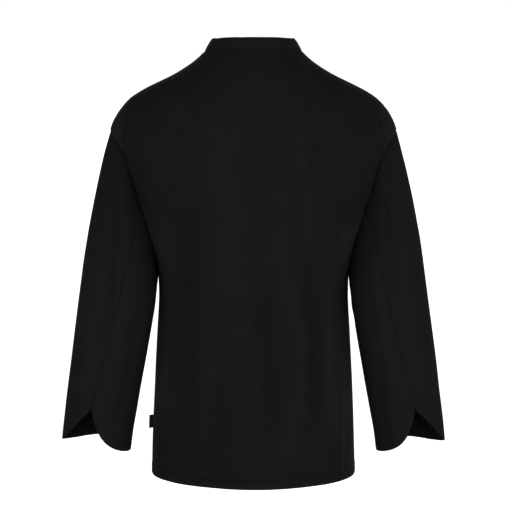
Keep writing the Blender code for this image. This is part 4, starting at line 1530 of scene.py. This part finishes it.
class JACKET_OT_buttons(bpy.types.Operator):
    """Make the ten buttons and the thread that holds them"""

    bl_idname = "jacket.buttons"
    bl_label = "Buttons"

    def execute(self, context):
        nodes = [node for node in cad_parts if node.startswith("button")]
        _, radius = button_place(nodes[0])
        button, thread = turned_button(radius), button_thread()
        threads = []
        for node in nodes:
            turn = Matrix.Rotation(math.radians(BUTTON_TURNS[int(node[-1]) - 1]), 4, "Z")
            place = button_place(node)[0] @ turn
            piece = placed_copy(button, f"{node}_turned", place)
            bpy.ops.object.shade_smooth_by_angle(angle=BUTTON_SHADE_ANGLE)
            finish_piece(piece, button_material(), "button", node)
            threads.append(placed_copy(thread, f"{node}_thread", place))
        whole = joined(threads)
        whole.name = "button_threads"
        bpy.ops.object.shade_smooth()
        finish_piece(whole, thread_material(), "twill")
        bpy.data.objects.remove(button)
        bpy.data.objects.remove(thread)
        return {"FINISHED"}


class JACKET_OT_buttonholes(bpy.types.Operator):
    """Sew the left front's buttonholes, which the right column's buttons come through"""

    bl_idname = "jacket.buttonholes"
    bl_label = "Buttonholes"

    def execute(self, context):
        tree = skin("front_left")
        rows = []
        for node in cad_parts:
            if node.startswith("button_right"):
                rows += self.one_hole(tree, button_place(node)[0])
        sew("buttonholes", "twill", rows)
        return {"FINISHED"}

    def one_hole(self, tree, place):
        """The frames of one buttonhole's stitches: two long sides and two bars."""
        centre = np.array(place.translation)
        across, along, up = (np.array(place.to_3x3().col[k]) * MM for k in range(3))
        at = np.arange(*HOLE_REACH, HOLE_PITCH)
        rows = []
        for edge in (-HOLE_HALF, HOLE_HALF):
            spots = centre + np.outer(at, across) + along * edge
            rows.append(self.bars(tree, spots, along / MM, up, HOLE_HALF * HOLE_SIDE * MM))
        for end in HOLE_REACH:
            spots = centre + np.outer(end + np.arange(-1.0, 1.5, HOLE_PITCH), across)
            rows.append(self.bars(tree, spots, along / MM, up, HOLE_HALF * HOLE_BAR * MM))
        return rows

    def bars(self, tree, spots, along, up, length):
        """The frames of stitches at some spots that all run one way."""
        places, normals = lay(tree, spots, np.tile(up, (len(spots), 1)))
        runs = unit(along - normals * (normals @ along)[:, None])
        return stitch_frames(places, runs, normals, length)


class JACKET_OT_side_tab(bpy.types.Operator):
    """Make the small folded tab in the left side seam"""

    bl_idname = "jacket.side_tab"
    bl_label = "Side tab"

    def execute(self, context):
        low, high = (Vector(corner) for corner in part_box("side_tab"))
        middle = (low + high) / 2
        bpy.ops.object.select_all(action="DESELECT")
        bpy.ops.mesh.primitive_cube_add(size=1, location=middle, scale=high - low)
        tab = context.object
        tab.name = "woven_tab"
        bpy.ops.object.transform_apply(location=True, rotation=True, scale=True)
        bpy.ops.object.mode_set(mode="EDIT")
        self.round_fold(tab, high.x)
        for end in (1, -1):
            self.part_layers(tab, end)
        for wanted, move in (
            (lambda vert: vert.co.x < middle.x, (-TAB_SEWN_IN, 0, 0)),
            (lambda vert: vert.co.x > middle.x, (0, 0, -TAB_DROP)),
            (lambda vert: vert.co.x > middle.x and vert.co.z < middle.z, (TAB_FLARE, 0, 0)),
        ):
            pick(tab, "VERT", wanted)
            bpy.ops.transform.translate(value=Vector(move) * MM)
        bpy.ops.object.mode_set(mode="OBJECT")
        soften(tab, TAB_EDGE)
        bpy.ops.object.shade_smooth_by_angle(angle=SHADE_ANGLE)
        finish_piece(tab, tab_material(), "tab", "side_tab")
        return {"FINISHED"}

    def round_fold(self, tab, outer):
        """Round the two long edges at the outer side, where the tape is folded."""
        pick(tab, "EDGE", lambda edge: self.is_fold(edge, outer))
        bpy.ops.mesh.bevel(offset=TAB_FOLD * MM, segments=5)

    def is_fold(self, edge, outer):
        """True for an upright edge at the outer side."""
        first, second = (vert.co for vert in edge.verts)
        return min(first.x, second.x) > outer - MERGE and abs(first.z - second.z) > MM

    def part_layers(self, tab, end):
        """Press a groove between the tape's two layers at its upper or lower end."""
        pick(tab, "FACE", lambda face: face.normal.z * end > 0.9)
        bpy.ops.mesh.inset(thickness=TAB_LAYER * MM)
        groove = (0, 0, -end * TAB_GROOVE * MM)
        bpy.ops.mesh.extrude_region_move(TRANSFORM_OT_translate={"value": groove})


class JACKET_PT_panel(bpy.types.Panel):
    """The pieces of the jacket"""

    bl_label = "Chef jacket"
    bl_space_type = "VIEW_3D"
    bl_region_type = "UI"
    bl_category = "Jacket"

    def draw(self, context):
        column = self.layout.column(align=True)
        for operator in OPERATORS:
            column.operator(operator.bl_idname)
        for name in GROUPS:
            group = getattr(context.scene, name)
            box = self.layout.box()
            for prop in group.bl_rna.properties:
                if prop.identifier not in ("rna_type", "name"):
                    box.prop(group, prop.identifier)


GROUPS = {
    "jacket_cloth": JacketCloth,
    "jacket_sewing": JacketSewing,
    "jacket_stage": JacketStage,
}
OPERATORS = (
    JACKET_OT_stage,
    JACKET_OT_back_panel,
    JACKET_OT_shoulder_insets,
    JACKET_OT_fronts,
    JACKET_OT_sleeves,
    JACKET_OT_collar,
    JACKET_OT_side_tab,
    JACKET_OT_stitching,
    JACKET_OT_buttons,
    JACKET_OT_buttonholes,
)


def register():
    for name, group in GROUPS.items():
        bpy.utils.register_class(group)
        setattr(bpy.types.Scene, name, bpy.props.PointerProperty(type=group))
    for operator in OPERATORS:
        bpy.utils.register_class(operator)
    bpy.utils.register_class(JACKET_PT_panel)


def unregister():
    bpy.utils.unregister_class(JACKET_PT_panel)
    for operator in reversed(OPERATORS):
        bpy.utils.unregister_class(operator)
    for name, group in reversed(GROUPS.items()):
        delattr(bpy.types.Scene, name)
        bpy.utils.unregister_class(group)


def main():
    """Make every piece."""
    register()
    for operator in OPERATORS:
        group, name = operator.bl_idname.split(".")
        getattr(getattr(bpy.ops, group), name)()


if __name__ == "__main__":
    main()
